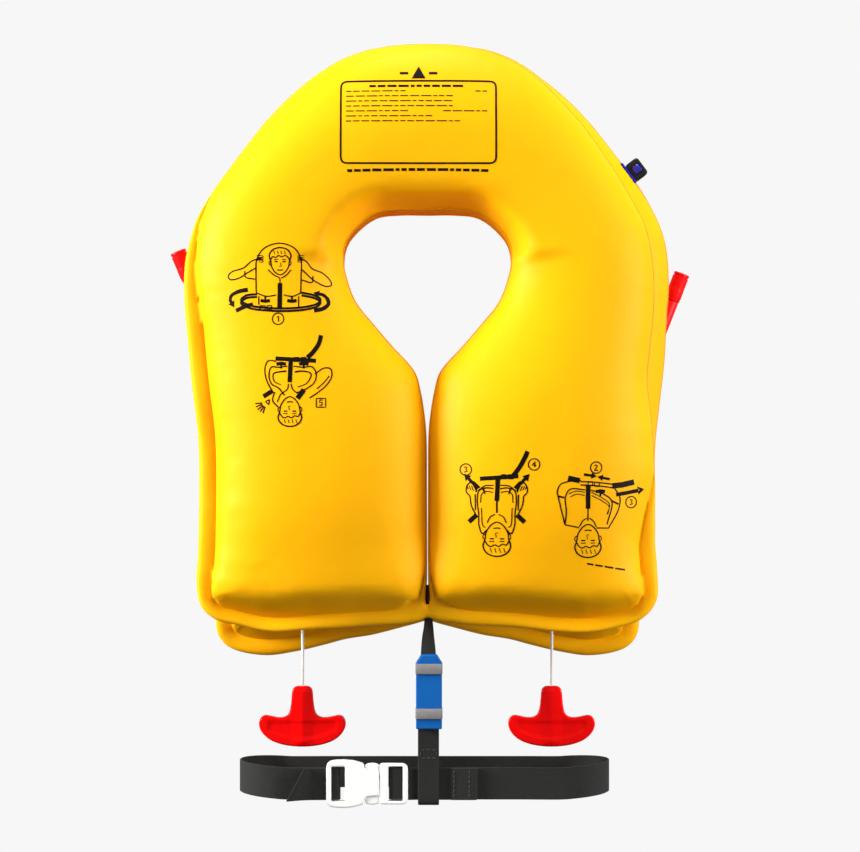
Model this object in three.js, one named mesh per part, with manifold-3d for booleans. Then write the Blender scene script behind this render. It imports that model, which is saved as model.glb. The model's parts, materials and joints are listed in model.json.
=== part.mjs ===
// Twin-cell inflatable life vest, inflated and hanging upright.
// Millimetres. Origin at the middle of the neck opening, midway between the two cells.
// +X is the viewer's right, -Y faces the viewer, +Z is up.

import * as THREE from 'three';
import { LoftGeometry } from 'three/addons/geometries/LoftGeometry.js';
import { mergeVertices } from 'three/addons/utils/BufferGeometryUtils.js';
import Module from 'manifold-3d';

const wasm = await Module();
wasm.setup();

// Driving dimensions
const GAP = 0.3;                    // clearance between touching pieces
const SEAM_Y = 45;                  // seam plane of each cell, either side of the middle
const CELL_RISE = 42.8;              // height of a panel's crown above its seam plane
const LIP_THICKNESS = 1.2;          // one ply of the welded rim
const LIP_BOTTOM = 13;              // width of the welded rim at the lobes' ends
const LIP_SIDE = 10;                // and down their outer sides
const LIP_TOP = 4;                  // and round the shoulders and the neck
const END_RUN = 50;                 // length over which a lobe's end rounds off
const BELT_Z = -390;                // middle of the belt's width
const BELT_FRONT_Y = -38;           // the belt's front run
const BELT_BACK_Y = 36;             // and its back run
const WEB_WIDTH = 25.4;             // belt webbing
const WEB_THICKNESS = 1.6;
const STRAP_WIDTH = 16.6;           // the narrower centre strap
const STRAP_X = 0.8;
const STRAP_FRONT_Y = -42.4;        // the strap's front leg, ahead of the belt
const INFLATOR_Y = -9.5;            // the inflators sit in the wedge between the cells
const INFLATOR_Z = -252;
const HANDLE_X = { left: -99.6, right: 98.8 };
const HANDLE_TOP_Z = -316;
const LEVER_ARM = 25.4;             // lever pivot to lanyard, along X
const PIVOT = { u: -12, w: -4 };    // lever pivot in the inflator's own frame
const LANYARD_W = -15.5;            // height of the lever's lanyard end in that frame
const LANYARD_RADIUS = 1.2;
const TUBE_RADIUS = 6.2;
const TUBE_BORE = 4.2;
const TUBE_RUN = 111.7;             // from the weld flange's middle to the tube's open end
const MOUTHPIECE_LENGTH = 24;

const COLOURS = {
  yellow: 0xffc814,
  red: 0xe01010,
  white: 0xf4f3ee,
  cord: 0xe6e4dc,
  webbing: 0x2c2c2b,
  blue: 0x1c5fae,
  grey: 0x96928f,
  black: 0x19191b,
  steel: 0xa9adb0,
  nickel: 0xc4c6c4,
};

const vest = new THREE.Group();

// ---- helpers ---------------------------------------------------------------------------------

function solid(geometry) {
  geometry.deleteAttribute('normal');
  geometry.deleteAttribute('uv');
  const merged = mergeVertices(geometry, 1e-4);
  return new wasm.Manifold(new wasm.Mesh({
    numProp: 3,
    vertProperties: new Float32Array(merged.attributes.position.array),
    triVerts: new Uint32Array(merged.index.array),
  }));
}

function surface(manifold) {
  const mesh = manifold.getMesh();
  const geometry = new THREE.BufferGeometry();
  geometry.setAttribute('position', new THREE.BufferAttribute(mesh.vertProperties, 3));
  geometry.setIndex(new THREE.BufferAttribute(mesh.triVerts, 1));
  geometry.computeVertexNormals();
  return geometry;
}

function add(parent, name, geometry, colour, roughness = 0.5, metalness = 0) {
  const material = new THREE.MeshStandardMaterial({ color: COLOURS[colour], roughness, metalness });
  const mesh = new THREE.Mesh(geometry, material);
  mesh.name = name;
  parent.add(mesh);
  return mesh;
}

// A block between two corners.
function block(low, high) {
  const size = high.map((value, i) => value - low[i]);
  const geometry = new THREE.BoxGeometry(...size);
  geometry.translate(...high.map((value, i) => (value + low[i]) / 2));
  return geometry;
}

// A cylinder along X, Y or Z between two places on that axis.
function rod(axis, radius, from, to, centre, sides = 12) {
  const geometry = new THREE.CylinderGeometry(radius, radius, to - from, sides);
  if (axis === 'x') geometry.rotateZ(-Math.PI / 2);
  if (axis === 'z') geometry.rotateX(Math.PI / 2);
  const middle = (from + to) / 2;
  const [a, b] = centre;
  if (axis === 'x') geometry.translate(middle, a, b);
  if (axis === 'y') geometry.translate(a, middle, b);
  if (axis === 'z') geometry.translate(a, b, middle);
  return geometry;
}

// A turned piece whose profile of [radius, height] closes on itself or ends on the axis.
function turned(profile, sides = 12) {
  return new THREE.LatheGeometry(profile.map(([r, h]) => new THREE.Vector2(r, h)), sides);
}

// A rectangle with round corners, centred on the origin.
function roundedRectangle(width, height, radius) {
  const shape = new THREE.Shape();
  const x = width / 2 - radius;
  const y = height / 2 - radius;
  shape.absarc(x, y, radius, 0, Math.PI / 2);
  shape.absarc(-x, y, radius, Math.PI / 2, Math.PI);
  shape.absarc(-x, -y, radius, Math.PI, Math.PI * 1.5);
  shape.absarc(x, -y, radius, Math.PI * 1.5, Math.PI * 2);
  return shape;
}

// A plate that lies in the XZ plane, from its outline, with its depth along Y.
function plate(shape, depth, bevel = 0, curveSegments = 5) {
  const geometry = new THREE.ExtrudeGeometry(shape, {
    depth: depth - 2 * bevel,
    bevelEnabled: bevel > 0,
    bevelThickness: bevel,
    bevelSize: bevel,
    bevelOffset: -bevel,
    bevelSegments: 1,
    curveSegments,
  });
  geometry.translate(0, 0, -(depth - 2 * bevel) / 2);
  geometry.rotateX(Math.PI / 2);
  return geometry;
}

// A closed skin over sections, which all turn the way that makes it face outward.
function loft(sections) {
  const first = sections[0];
  const next = sections[1];
  const normal = new THREE.Vector3();
  const forward = new THREE.Vector3();
  first.forEach((point, i) => {
    normal.add(new THREE.Vector3().crossVectors(point, first[(i + 1) % first.length]));
    forward.add(next[i]).sub(point);
  });
  if (normal.dot(forward) < 0) sections.forEach((section) => section.reverse());
  return new LoftGeometry(sections, { capStart: true, capEnd: true });
}

// Webbing: a flat strip that follows stations of {centre, across, thick}.
function ribbon(stations, width, thickness) {
  const sections = stations.map(({ centre, across, thick }) => {
    const corner = (a, t) => centre.clone()
      .addScaledVector(across, a * width / 2)
      .addScaledVector(thick, t * thickness / 2);
    return [corner(-1, -1), corner(1, -1), corner(1, 1), corner(-1, 1)];
  });
  return loft(sections);
}

// A coil spring along +Y, starting at the origin.
function coil(radius, wire, length, turns) {
  class Helix extends THREE.Curve {
    getPoint(t, target = new THREE.Vector3()) {
      const angle = t * turns * Math.PI * 2;
      return target.set(radius * Math.cos(angle), t * length, radius * Math.sin(angle));
    }
  }
  const section = new THREE.Shape();
  section.absarc(0, 0, wire, 0, Math.PI * 2);
  return new THREE.ExtrudeGeometry(section, {
    steps: turns * 7,
    curveSegments: 2,
    extrudePath: new Helix(),
  });
}

// ---- the two cells -----------------------------------------------------------------------------

// A cell is a horseshoe: each station joins its outer edge to its inner edge, [x, z, x, z], from
// the end of a lobe, up past the neck, to the top of the arch. Half widths; mirrored for the left.
const FRONT_LEFT = [
  [166, -257, 1, -257], [177, -246, 1.5, -244], [179, -241, 1.5, -240.5], [180.5, -233, 1, -234],
  [180.5, -221, 1, -222], [179.5, -206, 1, -206], [179, -190, 1, -190], [179, -152, 1, -155],
  [180, -115, 1.4, -120], [184.5, -77, 8, -76], [188, -38, 28, -45], [191, 0, 53, -15],
  [188, 32, 65, 17], [177, 62, 64, 36], [156, 92, 56, 49], [127, 130, 44, 57], [86, 168, 30, 60],
  [42, 186, 15, 61], [0, 191, 0, 61],
];
const FRONT_RIGHT = [
  [166, -257, 1, -257], [176, -246, 1.5, -244], [178.5, -241, 1.5, -240.5], [180, -233, 1, -234],
  [180, -221, 1, -222], [178.5, -206, 1, -206], [178, -190, 1, -190], [178, -152, 1, -155],
  [177, -115, 1.4, -120], [173, -77, 8, -76], [175, -38, 28, -45], [178, 0, 53, -15],
  [175, 30, 65, 17], [165, 60, 64, 36], [149, 88, 56, 49], [123, 127, 44, 57], [84, 166, 30, 60],
  [42, 186, 15, 61], [0, 191, 0, 61],
];
const REAR = [
  [160, -277, 1, -273], [170, -266, 1.5, -260], [173, -261, 1.5, -256], [176, -252, 1, -249],
  [179, -239, 1, -237], [182, -222, 1, -220], [185, -200, 1, -200], [186, -160, 1, -160],
  [186.5, -122, 1.4, -122], [190, -80, 9, -76], [195, -40, 27, -44], [197, 0, 53, -12],
  [195, 33, 67, 20], [184, 66, 66, 42], [161, 103, 58, 56], [131, 140, 46, 63], [89, 178, 31, 66],
  [44, 198, 16, 67.5], [0, 202, 0, 68],
];
const NECK_STATION = 9;             // from here the stations are halved, to follow the neck
const CROWN_ANGLES = [24, 57, 90, 123, 156];
const LOBE_SAG = { front: 12, rear: 20 };
const SIDE_LIP_STATION = 8;         // the rim is wide up to here, then narrows to the shoulders
const SHOULDER_STATION = 12;

// One half of a horseshoe as finely spaced stations from the lobe's end to the top of the arch.
function halfStations(table) {
  const outer = new THREE.CatmullRomCurve3(table.map(([x, z]) => new THREE.Vector3(x, 0, z)));
  const inner = new THREE.CatmullRomCurve3(table.map(([, , x, z]) => new THREE.Vector3(x, 0, z)));
  const last = table.length - 1;
  const places = [];
  for (let i = 0; i < last; i += 1) {
    places.push(i);
    if (i >= NECK_STATION) places.push(i + 0.5);
  }
  places.push(last);
  return places.map((place) => ({
    place,
    outer: outer.getPoint(place / last),
    inner: inner.getPoint(place / last),
  }));
}

function lipWidths(place) {
  const fade = THREE.MathUtils.smoothstep(place, SIDE_LIP_STATION, SHOULDER_STATION);
  return { outer: THREE.MathUtils.lerp(LIP_SIDE, LIP_TOP, fade), inner: place > 9 ? LIP_TOP : 2 };
}

// The closed section of a panel at one station; side is -1 for a panel that faces the viewer.
function panelSection({ outer, inner, place }, mirror, side, seamY, sag, grow) {
  const width = outer.distanceTo(inner);
  const lip = lipWidths(place);
  const fromEnd = Math.max(0, outer.z - sag.endZ - LIP_BOTTOM);
  const endRise = Math.sqrt(1 - (1 - Math.min(1, fromEnd / END_RUN)) ** 2);
  const crown = THREE.MathUtils.clamp(CELL_RISE - (150 - width) * 0.22, 36, CELL_RISE) * endRise;
  const radius = (width - lip.outer - lip.inner) / 2;
  const middle = lip.outer + radius;
  const rows = [[0, 0], [lip.outer, 0]];
  for (const angle of CROWN_ANGLES) {
    const turn = THREE.MathUtils.degToRad(angle);
    rows.push([middle - radius * Math.cos(turn), crown * Math.sin(turn)]);
  }
  rows.push([width - lip.inner, 0], [width, 0]);
  const flatY = seamY + side * GAP / 2;
  const points = rows.map(([across, rise]) => {
    const s = across / width;
    const point = outer.clone().lerp(inner, s);
    const droop = sag.depth * Math.sin(Math.PI * s ** 0.8) * Math.exp(-fromEnd / 12);
    point.z -= droop;
    point.y = flatY + side * (LIP_THICKNESS + rise + grow);
    point.x *= mirror;
    return point;
  });
  const flat = [points[points.length - 1].clone(), points[0].clone()];
  for (const point of flat) point.y = flatY;
  return [...points, ...flat];
}

// A panel of a cell: the flat seam side and the inflated side, as one closed solid.
function panel(left, right, side, seamY, sagDepth, grow = 0) {
  const sag = { depth: sagDepth, endZ: left[0][1] };
  const leftSections = halfStations(left)
    .map((station) => panelSection(station, -1, side, seamY, sag, grow));
  const rightSections = halfStations(right)
    .map((station) => panelSection(station, 1, side, seamY, sag, grow));
  const sections = [...leftSections, ...rightSections.reverse().slice(1)];
  return loft(sections);
}

// The strip of rim that ties the two lobes together at the bottom of the slit.
function withWeb(geometry, side, seamY, top, bottom) {
  const near = seamY + side * GAP / 2;
  const far = near + side * LIP_THICKNESS;
  const tie = block([-4, Math.min(near, far), bottom], [4, Math.max(near, far), top]);
  return solid(geometry).add(solid(tie));
}

const frontBack = (grow) => panel(FRONT_LEFT, FRONT_RIGHT, 1, -SEAM_Y, LOBE_SAG.front, grow);
const rearFront = (grow) => panel(REAR, REAR, -1, SEAM_Y, LOBE_SAG.rear, grow);
const rearBack = (grow) => panel(REAR, REAR, 1, SEAM_Y, LOBE_SAG.rear, grow);

function cells() {
  const frontFront = panel(FRONT_LEFT, FRONT_RIGHT, -1, -SEAM_Y, LOBE_SAG.front);
  const front = [-246, -256.5];
  const rear = [-262, -272.5];
  add(vest, 'front_cell_front_panel', surface(withWeb(frontFront, -1, -SEAM_Y, ...front)), 'yellow');
  add(vest, 'front_cell_back_panel', surface(withWeb(frontBack(0), 1, -SEAM_Y, ...front)), 'yellow');
  add(vest, 'rear_cell_front_panel', surface(withWeb(rearFront(0), -1, SEAM_Y, ...rear)), 'yellow');
  add(vest, 'rear_cell_back_panel', surface(withWeb(rearBack(0), 1, SEAM_Y, ...rear)), 'yellow');
}

// A weld flange: a round stub along Y that spreads into a thin disc lying on a panel.
function weldFlange(panelAt, x, z, discRadius, stubRadius, yFrom, yTo) {
  const reach = solid(rod('y', discRadius, -2 * SEAM_Y, 2 * SEAM_Y, [x, z], 14));
  const disc = solid(panelAt(GAP + 1.3)).intersect(reach);
  const stub = solid(rod('y', stubRadius, yFrom, yTo, [x, z], 12));
  return disc.add(stub).subtract(solid(panelAt(GAP + 0.1)));
}

// ---- inflators ---------------------------------------------------------------------------------

// The inflator's own frame: u along X towards its cylinder, w along Z, the seam side at -Y.
const BODY = { u: 18, depth: 8, w: 12 };
const STEM_W = 5;
const SOCKET = { radius: 5.4, floor: 8 };
const CYLINDER = { radius: 9.5, length: 79, neck: 5, shoulder: 8 };
const PIN = { radius: 2.4, tail: PIVOT.u + 5, tip: 7 };

function inflatorBody() {
  const shell = plate(roundedRectangle(2 * BODY.u, 2 * BODY.w, 4), 2 * BODY.depth, 0, 3);
  const cuts = [
    rod('x', SOCKET.radius, SOCKET.floor, BODY.u + 1, [0, PIVOT.w]),
    rod('x', PIN.radius + GAP, PIVOT.u, BODY.u, [0, PIVOT.w]),
    rod('x', 4, -2, SOCKET.floor + 1, [0, PIVOT.w]),
    block([-BODY.u - 1, -3.5, -BODY.w - 1], [PIVOT.u + 8.6, 3.5, 6]),
    rod('y', 1.5 + GAP, -BODY.depth - 1, BODY.depth + 1, [PIVOT.u, PIVOT.w], 8),
  ];
  return surface(cuts.reduce((body, cut) => body.subtract(solid(cut)), solid(shell)));
}

function inflatorLever() {
  const reach = PIVOT.u + LEVER_ARM;
  const noseTurn = THREE.MathUtils.degToRad(60);
  const nose = [PIVOT.u + 6 * Math.cos(noseTurn), PIVOT.w + 6 * Math.sin(noseTurn)];
  const half = 2.6;
  const pieces = [
    rod('y', 4, -half, half, [PIVOT.u, PIVOT.w]),
    rod('y', 2, -half, half, nose, 10),
    block([PIVOT.u, -half, PIVOT.w], [nose[0] + 1.2, half, nose[1]]),
    block([PIVOT.u - 4, -half, LANYARD_W - 1.8], [PIVOT.u + 0.5, half, PIVOT.w]),
    block([PIVOT.u - 2, -half, LANYARD_W - 1.8], [reach, half, LANYARD_W + 1.8]),
    rod('y', 1.8, -half, half, [reach, LANYARD_W], 8),
  ];
  const bore = rod('y', 1.5 + GAP, -BODY.depth, BODY.depth, [PIVOT.u, PIVOT.w], 8);
  return surface(pieces.map(solid).reduce((a, b) => a.add(b)).subtract(solid(bore)));
}

function cylinderProfile() {
  const { radius, length, neck, shoulder } = CYLINDER;
  const start = SOCKET.floor + 2;
  const profile = [[0, start + 5], [2.9, start + 5], [2.9, start], [neck, start], [neck, BODY.u + 0.4]];
  profile.push([7.5, BODY.u + 3], [radius, BODY.u + shoulder], [radius, BODY.u + length - 8]);
  for (const turn of [0.5, 1]) {
    profile.push([radius * Math.cos(turn), BODY.u + length - 8 + 8 * Math.sin(turn)]);
  }
  profile.push([0, BODY.u + length]);
  return profile;
}

function alongX(geometry) {
  geometry.rotateZ(-Math.PI / 2);
  geometry.translate(0, 0, PIVOT.w);
  return geometry;
}

function handleShape() {
  const shape = new THREE.Shape();
  const right = (x, z) => [x, z];
  const left = (x, z) => [-x, z];
  shape.moveTo(...right(11, -12));
  shape.bezierCurveTo(...right(11, -4), ...right(7, 0), 0, 0);
  shape.bezierCurveTo(...left(7, 0), ...left(11, -4), ...left(11, -12));
  shape.bezierCurveTo(...left(11, -24), ...left(14, -26), ...left(19, -26));
  shape.bezierCurveTo(...left(26, -26), ...left(34.5, -22), ...left(34.5, -30));
  shape.bezierCurveTo(...left(34.5, -42), ...left(16, -49.5), 0, -49.5);
  shape.bezierCurveTo(...right(16, -49.5), ...right(34.5, -42), ...right(34.5, -30));
  shape.bezierCurveTo(...right(34.5, -22), ...right(26, -26), ...right(19, -26));
  shape.bezierCurveTo(...right(14, -26), ...right(11, -24), ...right(11, -12));
  return shape;
}

function inflator(side, facing, panelAt, stubEnd) {
  const x = HANDLE_X[side] - facing * (PIVOT.u + LEVER_ARM);
  const group = new THREE.Group();
  group.position.set(x, INFLATOR_Y, INFLATOR_Z);
  if (facing < 0) group.rotation.z = Math.PI;
  vest.add(group);
  add(group, `inflator_body_${side}`, inflatorBody(), 'black', 0.45);
  add(group, `inflator_lever_${side}`, inflatorLever(), 'black', 0.4);
  const pin = rod('y', 1.5, -BODY.depth + 0.5, BODY.depth - 0.5, [PIVOT.u, PIVOT.w], 8);
  add(group, `lever_pivot_pin_${side}`, pin, 'steel', 0.3, 1);
  const piercer = [
    [0, PIN.tail], [PIN.radius, PIN.tail], [PIN.radius, 0.5], [3.4, 0.5], [3.4, 2], [1.4, 2],
    [1.4, PIN.tip - 2.5], [0, PIN.tip],
  ];
  add(group, `piercing_pin_${side}`, alongX(turned(piercer, 8)), 'steel', 0.25, 1);
  const spring = alongX(coil(2.7, 0.45, 4.6, 3).translate(0, 2.7, 0));
  add(group, `piercing_spring_${side}`, spring, 'steel', 0.3, 1);
  add(group, `co2_cylinder_${side}`, alongX(turned(cylinderProfile(), 14)), 'nickel', 0.3, 1);
  const nut = turned([[0, 0], [6.4, 0], [6.4, 3], [4.6, 4.4], [0, 4.4]], 6);
  nut.translate(0, BODY.depth + GAP, 0);
  nut.translate(0, 0, STEM_W);
  add(group, `inflator_cap_nut_${side}`, nut, 'nickel', 0.3, 1);
  const face = INFLATOR_Y - facing * (BODY.depth + GAP);
  const ends = [face, stubEnd].sort((a, b) => a - b);
  const flange = weldFlange(panelAt, x, INFLATOR_Z + STEM_W, 12, 5.5, ...ends);
  add(vest, `inflator_stem_${side}`, surface(flange), 'black', 0.6);
}

function lanyardAndHandle(side) {
  const x = HANDLE_X[side];
  const top = INFLATOR_Z + LANYARD_W - 2.6;
  const bottom = HANDLE_TOP_Z + 0.9;
  const section = new THREE.Shape();
  section.absarc(0, 0, LANYARD_RADIUS, 0, Math.PI * 2);
  const path = new THREE.LineCurve3(
    new THREE.Vector3(x, INFLATOR_Y, top),
    new THREE.Vector3(x, INFLATOR_Y, bottom),
  );
  const cord = new THREE.ExtrudeGeometry(section, { steps: 8, curveSegments: 4, extrudePath: path });
  add(vest, `lanyard_${side}`, cord, 'cord', 0.8);
  const handle = plate(handleShape(), 12, 2.2, 4);
  handle.translate(x, INFLATOR_Y, HANDLE_TOP_Z);
  add(vest, `jerk_handle_${side}`, handle, 'red', 0.25);
}

// ---- oral inflation tubes ----------------------------------------------------------------------

const TUBE_START = 8.6;             // the tube's lower end, from the middle of its flange's stub
const TUBES = {
  left: { tip: new THREE.Vector3(-199.6, 0, 30.4), lean: -23.5 },
  right: { tip: new THREE.Vector3(211.3, 84, 17.4), lean: 21.5 },
};

// The tube's own frame: +Y runs along it, from the middle of its flange's stub to its open end.
function oralTube(side, panelAt, stubFrom, stubTo) {
  const { tip, lean } = TUBES[side];
  const turn = THREE.MathUtils.degToRad(lean);
  const along = new THREE.Vector3(Math.sin(turn), 0, Math.cos(turn));
  const base = tip.clone().addScaledVector(along, -TUBE_RUN);
  const flange = weldFlange(panelAt, base.x, base.z, 13, 5.8, stubFrom, stubTo);
  add(vest, `oral_tube_flange_${side}`, surface(flange), 'yellow', 0.5);
  const group = new THREE.Group();
  group.position.copy(base);
  group.quaternion.setFromUnitVectors(new THREE.Vector3(0, 1, 0), along);
  vest.add(group);
  const join = TUBE_RUN - MOUTHPIECE_LENGTH;
  const ring = [
    [TUBE_BORE, TUBE_START], [TUBE_RADIUS, TUBE_START], [TUBE_RADIUS, join - GAP],
    [TUBE_BORE, join - GAP], [TUBE_BORE, TUBE_START],
  ];
  add(group, `oral_tube_${side}`, turned(ring), 'red', 0.4);
  const mouth = [
    [2.6, join], [6.6, join], [6.6, TUBE_RUN - 1], [6, TUBE_RUN], [5, TUBE_RUN], [5, join + 6],
    [2.6, join + 3], [2.6, join],
  ];
  add(group, `mouthpiece_${side}`, turned(mouth), 'red', 0.4);
  const poppet = [
    [0, join + 1], [1.2, join + 1], [1.2, join + 12], [4.4, join + 12], [4.4, join + 15],
    [1.8, join + 16], [1.8, join + 20], [0, join + 20],
  ];
  add(group, `valve_poppet_${side}`, turned(poppet), 'red', 0.4);
  const spring = coil(3.3, 0.45, 4.4, 3).translate(0, join + 7, 0);
  add(group, `valve_spring_${side}`, spring, 'steel', 0.3, 1);
}

// ---- survivor light ----------------------------------------------------------------------------

const LIGHT = { x: 166.8, y: 45, z: 97.6, lean: 53.1 };

// The light's own frame: +X points away from the vest's edge, +Z along it.
function light() {
  const group = new THREE.Group();
  group.position.set(LIGHT.x, LIGHT.y, LIGHT.z);
  group.rotation.y = THREE.MathUtils.degToRad(LIGHT.lean - 90);
  vest.add(group);
  const base = plate(roundedRectangle(2.5, 25, 1), 22, 0.4, 2);
  add(group, 'light_base_plate', base, 'blue', 0.4);
  const housing = plate(roundedRectangle(12, 16, 2.5), 18, 1, 3);
  housing.translate(1.25 + GAP + 6, 0, 0);
  const pocket = block([4.2, -10, -3.6], [11, -7, 3.6]);
  const cable = rod('z', 1.6, -9, -3, [7.5, 3], 10);
  const body = solid(housing).subtract(solid(pocket)).subtract(solid(cable));
  add(group, 'light_housing', surface(body), 'black', 0.35);
  const lens = block([4.5, -9.6, -3.3], [10.7, -7.3, 3.3]);
  add(group, 'light_lens', lens, 'blue', 0.2);
}

// ---- centre strap and battery ------------------------------------------------------------------

const STRAP_TOP = { y: -34.5, z: -262 };
const CASE = { x: 1.2, width: 20.4, top: -287.5, bottom: -345.6, back: -44.3, front: -55.3 };
const BANDS = { upper: -298.5, lower: -333.5 };
const BAND_HEIGHT = 8;

// Where the strap's middle is and how far it has turned, from edge on (0) to face on (1).
function strapStation(z) {
  const turned01 = THREE.MathUtils.smoothstep(-z, 256, 291);
  const turn = THREE.MathUtils.lerp(0.14, Math.PI / 2, turned01);
  const y = THREE.MathUtils.lerp(STRAP_TOP.y, STRAP_FRONT_Y, THREE.MathUtils.smoothstep(-z, 268, 293));
  return {
    centre: new THREE.Vector3(STRAP_X, y, z),
    across: new THREE.Vector3(Math.sin(turn), Math.cos(turn), 0),
    thick: new THREE.Vector3(-Math.cos(turn), Math.sin(turn), 0),
  };
}

function centreStrap() {
  const stations = [];
  for (let z = STRAP_TOP.z; z > -300; z -= 4) stations.push(strapStation(z));
  for (const z of [-300, -335, -374]) stations.push(strapStation(z));
  const leg = solid(ribbon(stations, STRAP_WIDTH, WEB_THICKNESS));
  const crown = solid(rod('x', 4.8, -0.75, 0.75, [STRAP_TOP.y, STRAP_TOP.z], 16));
  const top = crown.translate([STRAP_X, 0, 0]);
  const inner = { y: -39.1, width: 5.3, height: 34 };
  const middleZ = BELT_Z + 1.5;
  const outline = roundedRectangle(inner.width + 2 * WEB_THICKNESS, inner.height + 2 * WEB_THICKNESS, 2.6);
  outline.holes.push(roundedRectangle(inner.width, inner.height, 1.2));
  const loop = new THREE.ExtrudeGeometry(outline, {
    depth: STRAP_WIDTH,
    bevelEnabled: false,
    curveSegments: 3,
  });
  loop.translate(0, 0, -STRAP_WIDTH / 2);
  loop.rotateX(Math.PI / 2);
  loop.rotateZ(Math.PI / 2);
  loop.translate(STRAP_X, inner.y, middleZ);
  add(vest, 'centre_strap', surface(leg.add(top).add(solid(loop))), 'webbing', 0.8);
  const tab = block([STRAP_X - 0.8, -43, -252], [STRAP_X + 0.8, -28, -234]);
  add(vest, 'strap_anchor_tab', tab, 'webbing', 0.8);
}

function batteryBand(name, z) {
  const clear = 0.4;
  const back = STRAP_FRONT_Y + WEB_THICKNESS / 2;
  const low = [CASE.x - CASE.width / 2 - clear, CASE.front - clear];
  const high = [CASE.x + CASE.width / 2 + clear, back + clear];
  const wall = 1;
  const bottom = z - BAND_HEIGHT / 2;
  const top = z + BAND_HEIGHT / 2;
  const outer = block([low[0] - wall, low[1] - wall, bottom], [high[0] + wall, high[1] + wall, top]);
  const hole = block([...low, bottom - 1], [...high, top + 1]);
  add(vest, name, surface(solid(outer).subtract(solid(hole))), 'grey', 0.6);
}

function battery() {
  const half = CASE.width / 2;
  const chamfer = { x: 4.2, z: 6.5 };
  const shape = new THREE.Shape();
  shape.moveTo(-half, CASE.bottom);
  shape.lineTo(half, CASE.bottom);
  shape.lineTo(half, CASE.top - chamfer.z);
  shape.lineTo(half - chamfer.x, CASE.top);
  shape.lineTo(-half + chamfer.x, CASE.top);
  shape.lineTo(-half, CASE.top - chamfer.z);
  const depth = CASE.back - CASE.front;
  const middleY = (CASE.back + CASE.front) / 2;
  const wall = 1.5;
  const shell = plate(shape, depth, 0.8).translate(CASE.x, middleY, 0);
  const inside = block(
    [CASE.x - half + wall, CASE.front + wall, CASE.bottom + wall],
    [CASE.x + half - wall, CASE.back - wall, CASE.top - 8],
  );
  const inlet = rod('z', 2.2, CASE.bottom - 1, CASE.bottom + wall + 1, [CASE.x, middleY], 12);
  const body = solid(shell).subtract(solid(inside)).subtract(solid(inlet));
  add(vest, 'battery_case', surface(body), 'blue', 0.35);
  const cell = block(
    [CASE.x - half + wall + GAP, CASE.front + wall + GAP, CASE.bottom + wall + 1],
    [CASE.x + half - wall - GAP, CASE.back - wall - GAP, CASE.top - 9],
  );
  add(vest, 'battery_cell', cell, 'grey', 0.7);
  batteryBand('battery_band_upper', BANDS.upper);
  batteryBand('battery_band_lower', BANDS.lower);
}

// ---- belt and buckle ---------------------------------------------------------------------------

const BUCKLE_Y = -39;
const FEMALE = { from: -79.5, to: -38, half: 18.8 };
const MALE = { from: -37.7, to: -15.3, half: 16 };
const BAR = { width: 4, thickness: 2.4 };
const BELT_ENDS = { left: -149.2, right: 144.4 };
const PLY = (BAR.thickness + WEB_THICKNESS) / 2 + GAP;   // a ply's distance from its bar's middle

// Webbing on edge: its width stands along Z, and it follows points [x, y, z] along the belt.
function webbing(points) {
  const places = points.map(([x, y, z = BELT_Z]) => new THREE.Vector3(x, y, z));
  const stations = places.map((centre, i) => {
    const before = places[Math.max(0, i - 1)];
    const after = places[Math.min(places.length - 1, i + 1)];
    const along = after.clone().sub(before).setZ(0).normalize();
    const thick = new THREE.Vector3(-along.y, along.x, 0);
    return { centre, across: new THREE.Vector3(0, 0, 1), thick };
  });
  return ribbon(stations, WEB_WIDTH, WEB_THICKNESS);
}

// The half circle at one end of the belt's loop, from its front run to its back run.
function beltEnd(endX, sign) {
  const radius = (BELT_BACK_Y - BELT_FRONT_Y) / 2;
  const centreX = endX - sign * radius;
  const middleY = BELT_FRONT_Y + radius;
  const steps = 12;
  return Array.from({ length: steps + 1 }, (_, i) => {
    const angle = i / steps * Math.PI;
    const lift = 2.5 * Math.sin(angle);
    return [centreX + sign * radius * Math.sin(angle), middleY - radius * Math.cos(angle), BELT_Z + lift];
  });
}

// The webbing's turn through a slot and round its bar, from the front ply to the back ply.
function foldRound(barX, sign) {
  return [90, 54, 18, -18, -54, -90].map((degrees) => {
    const angle = THREE.MathUtils.degToRad(degrees);
    return [barX + sign * PLY * Math.cos(angle), BUCKLE_Y - PLY * Math.sin(angle)];
  });
}

function belt() {
  const leftBar = FEMALE.from + BAR.width - 0.6;
  const rightBar = MALE.to - BAR.width + 0.6;
  const left = webbing([
    [-110, -46.5], [-104, -44.8], [-96, -43], [leftBar - 8, BUCKLE_Y - PLY],
    ...foldRound(leftBar, 1),
    [leftBar - 10, BUCKLE_Y + PLY], [leftBar - 18, BELT_FRONT_Y],
    ...beltEnd(BELT_ENDS.left, -1),
    [-60, BELT_BACK_Y], [-GAP / 2, BELT_BACK_Y],
  ]);
  add(vest, 'belt_left', left, 'webbing', 0.8);
  const right = webbing([
    [28.4, -39.9], [-9, -39.9], [-14, BUCKLE_Y - PLY],
    ...foldRound(rightBar, -1),
    [-13, BUCKLE_Y + PLY], [-9, BELT_FRONT_Y], [60, BELT_FRONT_Y],
    ...beltEnd(BELT_ENDS.right, 1),
    [60, BELT_BACK_Y], [GAP / 2, BELT_BACK_Y],
  ]);
  add(vest, 'belt_right', right, 'webbing', 0.8);
  const hem = block([28.8, -42.6, BELT_Z - WEB_WIDTH / 2], [38.8, -39.1, BELT_Z + WEB_WIDTH / 2]);
  add(vest, 'belt_sewn_end', hem, 'webbing', 0.8);
}

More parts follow.
